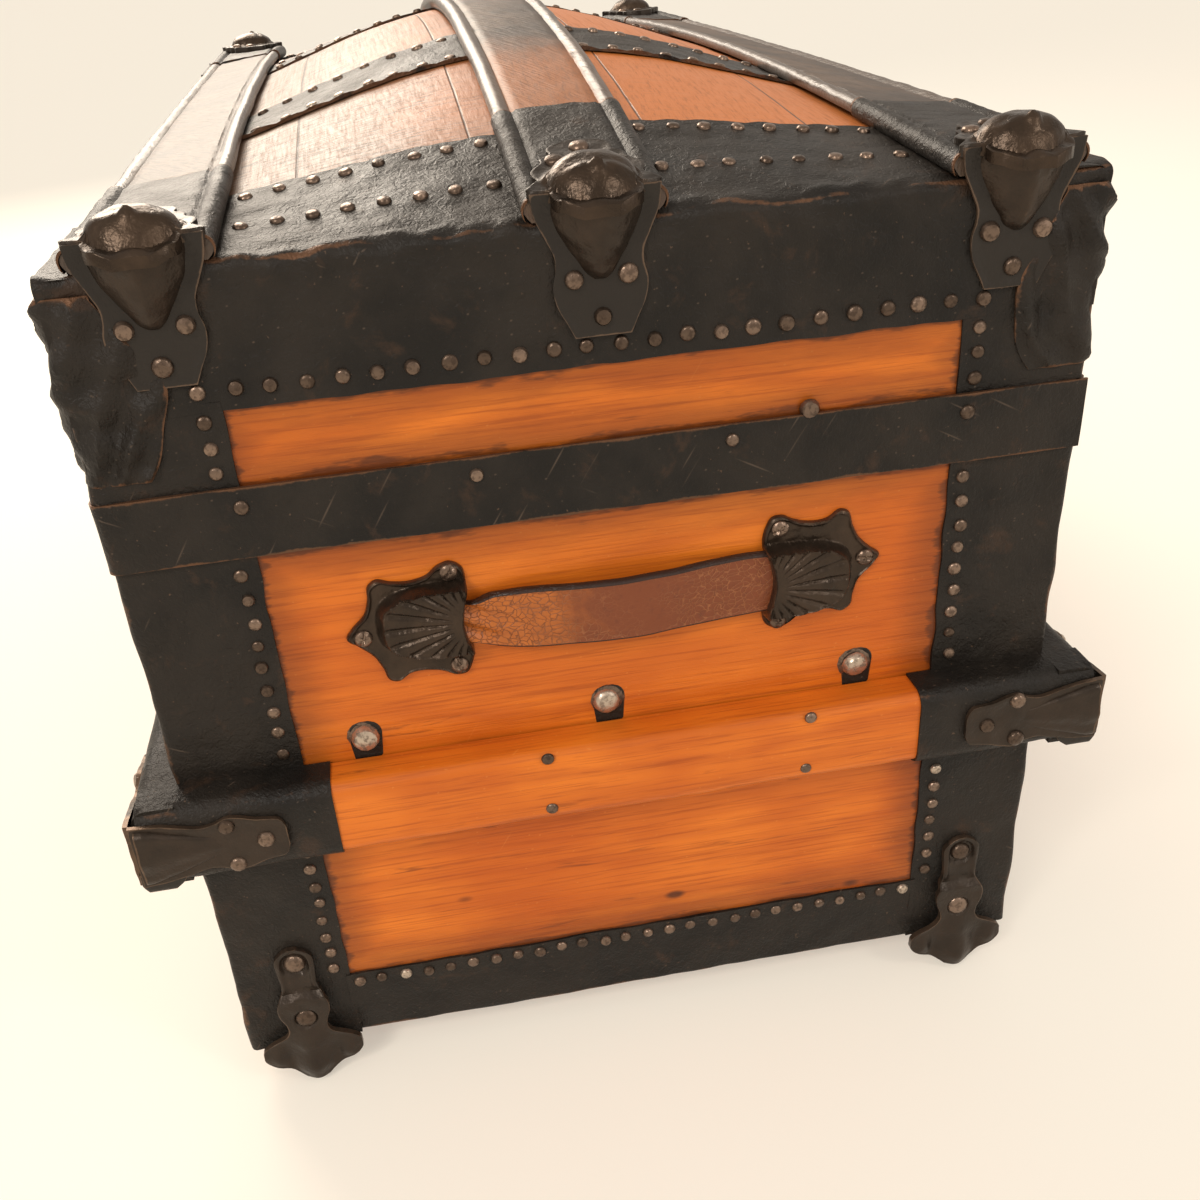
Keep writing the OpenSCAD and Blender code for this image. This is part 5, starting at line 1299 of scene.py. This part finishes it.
def lid_sheets():
    """The lid's sheets, each over the CAD node's, and the folds at its corners."""
    ends, sides = [end_cover(411), mirror(end_cover(431), 0)], [side_cover(441), mirror(side_cover(451), 1)]
    piece("lid_end_sheets", ends, SHEET, "lid", ["lid_end_metal"])
    piece("lid_side_sheets", sides, SHEET, "lid", ["lid_side_metal"])
    corners, folds = [], []
    for k, corner in enumerate(CORNERS):
        corners += at_corner([corner_angle(LID_Z, RIM_Z + 3, seed=461 + 7 * k, lift=0.7)], corner)
        folds += at_corner([corner_fold(seed=491 + 11 * k)], corner)
    piece("lid_corner_sheets", corners, SHEET, "lid", ["lid_corner_metal"])
    piece("lid_corner_folds", folds, SHEET, "lid")


def band(seed):
    """A band over the crown, standing off at its outer edge and scalloped at the inner one."""
    x = steps(BAND_X - BAND_W / 2, BAND_X + BAND_W / 2, 3.4)[:, None]
    y = steps(-WRAP_Y, WRAP_Y, 4)[None, :]
    low, high = x.min(), x.max()
    inner, outer = near(x - low, reach=6), near(high - x, reach=6)
    x_wavy = x - inner * 2.2 * scallops(y) + outer * wavy(y, 24, 1.0, seed)
    h = dents(x_wavy, y, 0 * y, seed + 1, (0.35, 40), (0.3, 16))
    h = h + outer * (0.8 + 0.9 * scallops(y)) + 0.4 * inner
    z = crown(x_wavy, y)
    edge = near(x - low + 0 * y, high - x + 0 * y, reach=2)
    return slab(uvw(x_wavy, y, z + h), uvw(x_wavy, y, z - METAL + 0.6 * outer), edge)


def hoop_path(corners, radius, size):
    """Points along a path with right-angled corners rounded to the radius, and their outward normals.
    The path keeps the trunk on its left-hand side."""
    corners = np.array(corners, float)
    go = np.diff(corners, axis=0)
    go /= np.linalg.norm(go, axis=1)[:, None]
    out = np.stack([go[:, 1], -go[:, 0]], -1)
    turn = np.linspace(0, np.pi / 2, 7)[:, None]
    stretches, normals = [corners[:1]], [out[:1]]
    for k, corner in enumerate(corners[1:-1]):
        n = out[k] * np.cos(turn) + go[k] * np.sin(turn)
        stretches.append(corner - go[k] * radius - out[k] * radius + radius * n)
        normals.append(n)
    stretches.append(corners[-1:])
    path, path_n = [], []
    for a, b, n in zip(stretches, stretches[1:], normals):
        way = b[0] - a[-1]
        share = np.linspace(0, 1, max(2, int(np.linalg.norm(way) / size)))[1:-1, None]
        path += [a, a[-1] + way * share]
        path_n += [n, np.broadcast_to(n[-1], (len(share), 2))]
    return np.concatenate(path + [corners[-1:]]), np.concatenate(path_n + [out[-1:]])


def strap_hoop(corners, z0, z1, seed):
    """A stretch of the strap: its section carried along the path, knocked in and out."""
    p, n = hoop_path(corners, STRAP_R, 6.0)
    z = steps(z0, z1, 3)[None, :]
    x, y, nx, ny = p[:, :1], p[:, 1:], n[:, :1], n[:, 1:]
    rim = near(z - z0, z1 - z, reach=3.5) + 0 * x
    turned = 1 - np.maximum(np.abs(nx), np.abs(ny))
    h = dents(x, y, z, seed, (0.45, 80), (0.3, 22)) + 0.4 * rim * lumps(x, y, z, 30, seed + 2) + 0.6
    top, under = uvw(x + nx * h, y + ny * h, z), uvw(x - nx * STRAP_T, y - ny * STRAP_T, z)
    return slab(top, under, near(z - z0, z1 - z, reach=1.6) + 1.6 * turned)


def bands_and_strap():
    """The bands over the crown, and the strap round the lid's foot: a hoop round the front and the ends,
    and a deeper stretch along the back, whose ends turn in behind the hoop's."""
    piece("crown_bands", [band(531), mirror(band(537), 0)], SHEET, "lid", ["lid_bands"])
    ox, oy = HALF_L + STRAP_OUT, HALF_W + STRAP_OUT
    front = strap_hoop([(-ox, oy), (-ox, -oy), (ox, -oy), (ox, oy)], STRAP_LOW, STRAP_HIGH, seed=551)
    bx = ox - 1
    back = strap_hoop([(bx, oy - 6), (bx, oy), (-bx, oy), (-bx, oy - 6)], LID_Z, STRAP_HIGH, seed=557)
    piece("lid_strap_sheet", [front, back], SHEET, "lid", ["lid_strap"])


# ---------- slats of the lid ----------
BEAD_R, BEAD_UP = 4.6, 5.0
LID_SLEEVE_T = 1.1


def lid_slat_section(grow):
    """A lid slat's section across the trunk, as across, up, and how much of each point is bead: a nearly
    flat top, a groove, and a round bead down to the crown. grow is a sleeve's thickness over it."""
    half = LID_SLAT_W / 2
    flat = np.stack([np.linspace(0, half - 11.5, 7), np.full(7, 8.4 + grow)], -1)
    groove = np.array([[half - 10.4, 7.6 + grow], [half - 9.3, 7.4 + grow]])
    a = np.radians(np.linspace(118, -38, 13))
    r = BEAD_R + grow
    round_part = np.stack([half - BEAD_R + r * np.cos(a), BEAD_UP + r * np.sin(a)], -1)
    right = np.concatenate([flat, groove, round_part])
    bead = np.concatenate([np.zeros(8), [0.3], np.ones(13)])
    section = np.concatenate([(right[::-1] * (-1, 1))[:-1], right])
    return section[None, :, 0], section[None, :, 1], np.concatenate([bead[::-1][:-1], bead])[None, :]


def lid_slat(y_mid, name, node, material, seed):
    """A slat of the lid: its section carried along the crown, rubbed on top."""
    across, up, bead = lid_slat_section(0.0)
    x = steps(-WOOD_X, WOOD_X, 6)[:, None]
    y = y_mid + across + 0.5 * lumps(x, 0 * x, 0 * x, 120, seed) * bead
    rub = dents(x, y, 0 * x, seed + 1, (0.25, 26), (0.2, 9))
    z = crown(x, y_mid + 0.75 * across) + LID_SLAT_BED + up + rub * (up > 3)
    under = uvw(x, y_mid + across * 0.93, crown(x, y_mid + across) + LID_SLAT_BED)
    piece(name, [slab(uvw(x, y, z), under, bead + 0 * x)], material, "lid", [node])


def lid_sleeve(y_mid, length, seed):
    """A sheet sleeve over the +X end of a lid slat: the slat's section, grown by the sheet, carried along
    the crown to an uneven inner edge and an open, rolled outer end."""
    across, up, bead = lid_slat_section(LID_SLEEVE_T)
    x = np.concatenate([steps(HALF_L - length, HALF_L - 6, 4), steps(HALF_L - 4, HALF_L - 0.5, 1.2)])[:, None]
    low, high = x.min(), x.max()
    first, last = near(x - low, reach=3), near(high - x, reach=3)
    x_wavy = x + first * wavy(across, 18, 0.9, seed)
    y = y_mid + across
    h = dents(x, y, 0 * x, seed + 1, (0.3, 30), (0.25, 11)) + 0.3 * last
    z = crown(np.clip(x_wavy, -HALF_L, HALF_L), y_mid + 0.75 * across) + LID_SLAT_BED + up + h * (up > 3)
    inner = uvw(x_wavy, y_mid + across * 0.975, z - 0.9)
    return slab(uvw(x_wavy, y, z), inner, near(x - low, high - x, reach=1.8) + 0.35 * bead)


def lid_slats():
    """The three slats of the lid, and the sleeves over both ends of each."""
    lid_slat(0, "slat_middle", "lid_centre_slat", MID_SLAT_WOOD, seed=601)
    lid_slat(-LID_SLAT_Y, "slat_front", "lid_front_slat", SIDE_LID_SLAT_WOOD, seed=607)
    lid_slat(LID_SLAT_Y, "slat_back", "lid_back_slat", SIDE_LID_SLAT_WOOD, seed=613)
    shapes = []
    for k, (y, length) in enumerate(((-LID_SLAT_Y, 130), (0, 100), (LID_SLAT_Y, 130))):
        shapes += [lid_sleeve(y, length, 621 + 5 * k), mirror(lid_sleeve(y, length, 641 + 5 * k), 0)]
    piece("lid_sleeves", shapes, SHEET, "lid", ["lid_slat_sleeves"])


# ---------- cast bumpers on the lid ----------
LID_BUMPER_YS = (-LID_SLAT_Y, 0, LID_SLAT_Y)
BUMPER_TOP, BUMPER_L = LID_TOP + 10.8, 46.0
BUMPER_X = HALF_L + 0.4
DOME_R, DOME_H, DOME_AT, DOME_WIDE = 16.5, 11.0, 4.5, 1.2
TOP_AT = (-16.5, -14, -10, -5, -1.6, -0.4, 1.2, 5, 9, 13, 18, 22, 25, 29, 33, 37, 41, 46)
TOP_HALF = (8, 14, 18.6, 20.4, 21, 27, 29.5, 26.8, 23.6, 24.8, 25, 21.5, 19.6, 19.4, 14.4, 15, 13.4, 6)
PROW_AT = (0, 4, 11, 19, 27, 32.5, 34.5)
PROW_HALF, PROW_OUT = (20.5, 20.5, 18.6, 14.6, 9.4, 5.4, 3.0), (14.6, 14.0, 12.6, 10.2, 7.2, 3.6, 0.8)
HANG_AT, HANG_HALF = (0, 10, 20, 27, 33, 40, 50, 58, 64.5), (29, 27.6, 23.2, 20.2, 20, 21.6, 20, 16, 13)


def end_slope(y):
    """How fast the crown rises inwards from the trunk's end, at y, over the length of a bumper."""
    return (crown(HALF_L - BUMPER_L, y) - crown(HALF_L, y)) / BUMPER_L


def from_dome(u, d):
    """The distance from the dome's middle, measured in its own width."""
    return np.hypot(u / DOME_WIDE, d - DOME_AT)


def top_relief(u, d, slope, seed):
    """Height of a lid bumper's top: the crown's slope, a ledge that sinks over the prow, a round dome
    with a rim behind it, a stud before it, and a lip along the ledge's end."""
    base = PLATE + 1.0 + slope * np.maximum(d, 0) - 0.42 * np.maximum(-d - 3, 0)
    far = from_dome(u, d)
    dome = np.sqrt(np.clip(1 - (far / DOME_R) ** 2, 0, 1)) * DOME_H
    rim = 1.5 * bell(far, DOME_R + 1.0, 1.0) * smooth_step(d, 3, 9)
    stud = 2.4 * smooth_step(-np.hypot(u - 1, d + 4.5), -4.0, -2.2)
    lip = 1.5 * bell(d, -13.5, 2.8) * (0.6 + 0.4 * np.cos(0.40 * u))
    return base + np.maximum(dome, rim) + np.maximum(stud, lip) + 0.35 * lumps(u, d, dome * 0.6, 9, seed)


def lid_bumper(y_mid, seed):
    """A bumper over the end of a lid slat at +X. Its top plate is drawn back from the end (d) and across
    (u): lobes at the back, two sharp tips over the end, and a ledge that leans out over the prow. A
    dome with a rim stands on it, rubbed to bronze. The prow narrows down to a nose, on a hanging plate."""
    slope = end_slope(y_mid)
    d = np.concatenate([steps(-16.5, -1.5, 1.1), steps(-0.8, 4, 0.8), steps(5, BUMPER_L, 1.3)])
    half = through(d, TOP_AT, TOP_HALF) * rounded(d, 42, 4.3)
    top = strip(d, -half, half, lambda u, b: top_relief(u, b, slope, seed), 5.0, 45, lip=0.8)
    top["edge"] *= 0.5
    u, d = top["p"][:, 0], top["p"][:, 1]
    top["tint"] = np.where(from_dome(u, d) < DOME_R + 2, 1.0, np.where(d < -1, 0.9, 0.3))
    top = moved(top, lambda u, v, w: (BUMPER_X - v, y_mid + u, BUMPER_TOP + w))

    drop = steps(0, 34.5, 1.2)[:, None]
    a = np.linspace(-1, 1, 27)[None, :]
    wide, deep = through(drop, PROW_AT, PROW_HALF), through(drop, PROW_AT, PROW_OUT)
    bow = (1 - np.abs(a) ** 1.5) ** 0.85
    out = deep * bow + 0.5 * lumps(wide * a, drop, 0 * a, 8, seed + 3)
    y, z = y_mid + wide * a, BUMPER_TOP - 1.5 - drop
    prow = slab(uvw(HALF_L + 1.6 + out, y, z), uvw(HALF_L + 0.6, y, z),
                0.5 * bell(drop, 0, 2) + 0.5 * bell(a, 0, 0.25), 0.6)

    v = steps(0, 64.5, 1.3)
    side = through(v, HANG_AT, HANG_HALF)[::-1]
    face = lambda a, b: PLATE - 0.9 + 0.35 * lumps(a, b, 0 * a, 22, seed + 5)
    hang = strip(-v[::-1], -side, side, face, 1.6, 23, lip=1.2)
    return [top, prow, on_end(hang, y_mid, BUMPER_TOP + PLATE, BUMPER_X)]


def lid_bumpers():
    """The three bumpers of each end, with the rivets on their hanging plates and on their lobes."""
    for name, side, first_seed in (("right", 1, 661), ("left", -1, 701)):
        shapes = []
        for k, y in enumerate(LID_BUMPER_YS):
            shapes += lid_bumper(y, seed=first_seed + 10 * k)
        piece("lid_bumper_castings_" + name, at_corner(shapes, (side, 1)), CAST, "lid",
              ["lid_bumpers_" + name])
    shapes = []
    back, across = np.array([38.0, 27.0]), np.array([0.0, -13.0])
    z = BUMPER_TOP + PLATE
    for k, y in enumerate(LID_BUMPER_YS):
        shapes += wall_heads(END, [y - 13, y + 13, y], [z - 38, z - 38, z - 55], HALF_L + 2.2, PROW_RIVET,
                             seed=721 + 9 * k)
        slope = end_slope(y)
        p = uvw(BUMPER_X - back, y + across, z + 1.0 + slope * back)
        shapes += both_ends([heads(p, [[slope, 0, 1.0]] * 2, LOBE_RIVET, seed=751 + k)])
    piece("lid_bumper_rivets", shapes, NAILS, "lid", ["lid_rivets"])


def crown_heads(xs, ys, seed):
    """Nail heads standing square on the crown, whose slopes tilt them."""
    x, y = (jittered(v.reshape(-1), 0.5, seed + k) for k, v in enumerate(np.meshgrid(xs, ys)))
    sx = (crown(x + 1, y) - crown(x - 1, y)) / 2
    sy = (crown(x, y + 1) - crown(x, y - 1)) / 2
    return heads(uvw(x, y, crown(x, y) + 0.2), uvw(-sx, -sy, 1.0), NAIL, seed, bright=0.03)


def lid_nail_heads():
    """Rows of nails along the rim, the corners, the strap, the end sheets and the bands."""
    rim_z, low = RIM_Z + 8, steps(STRAP_HIGH + 7, RIM_Z - 6, NAIL_PITCH)
    ys, xs = steps(-COLUMN_Y, COLUMN_Y, NAIL_PITCH), steps(-COLUMN_X, COLUMN_X, NAIL_PITCH)
    shapes = wall_heads(END, ys, rim_z, HALF_L, RIM_NAIL, seed=771)
    shapes += wall_heads(SIDE, xs, rim_z, HALF_W, RIM_NAIL, seed=781)
    for k, side in enumerate((1, -1)):
        shapes += wall_heads(END, side * COLUMN_Y, low, HALF_L, NAIL, seed=791 + 8 * k)
        shapes += wall_heads(SIDE, side * COLUMN_X, low, HALF_W, NAIL, seed=811 + 8 * k)
    strap_z, strap_out = STRAP_HIGH - 9, STRAP_OUT + 0.4
    strap_ys, strap_xs = np.array([-175, -65, 60, 179.0]), np.linspace(-360, 360, 6)
    shapes += wall_heads(END, strap_ys, strap_z, HALF_L + strap_out, STRAP_NAIL, seed=831, bright=0.1)
    shapes += wall_heads(END, [100.0], [STRAP_HIGH + 3], HALF_L + 1.0, STRAP_STUD, seed=835, bright=0.2)
    shapes += wall_heads(SIDE, strap_xs, strap_z, HALF_W + strap_out, STRAP_NAIL, seed=837, bright=0.1)
    between = steps(LID_SLAT_W / 2 + 8, LID_SLAT_Y - LID_SLAT_W / 2 - 8, NAIL_PITCH)
    ys = np.concatenate([between, -between])
    xs = np.array([HALF_L - 43, WRAP_X + 7, BAND_X + BAND_W / 2 - 7, BAND_X - BAND_W / 2 + 7])
    shapes += [crown_heads(xs, ys, seed=841), crown_heads(-xs, ys, seed=847)]
    piece("lid_nail_heads", shapes, NAILS, "lid", ["lid_nails"])


# ---------- everything ----------
for make in (body_corners, foot_sheets, body_slats, sleeves, body_nail_heads, corner_bumpers, handles,
             large_bolts, casters, crown_board, lid_sheets, bands_and_strap, lid_slats, lid_bumpers,
             lid_nail_heads):
    make()

dress(BODY_PINE, "right_end_board", "left_end_board")
dress(LID_PINE, "lid_right_board", "lid_left_board")
dress(SIDE_PINE, "front_board", "back_board", "lid_front_board", "lid_back_board", "bottom_board",
      "bottom_slats")
dress(CAST, "lock_case", "catch_plates", "hinge_body_leaves", "hinge_lid_leaves", "catch_bases", "hasp",
      "right_tongue", "left_tongue")
dress(IRON, "hinge_pins", "catch_pins", "roller_axles", "roller_right_front", "roller_right_back",
      "roller_left_front", "roller_left_back")

bpy.context.scene.view_settings.view_transform = "Standard"
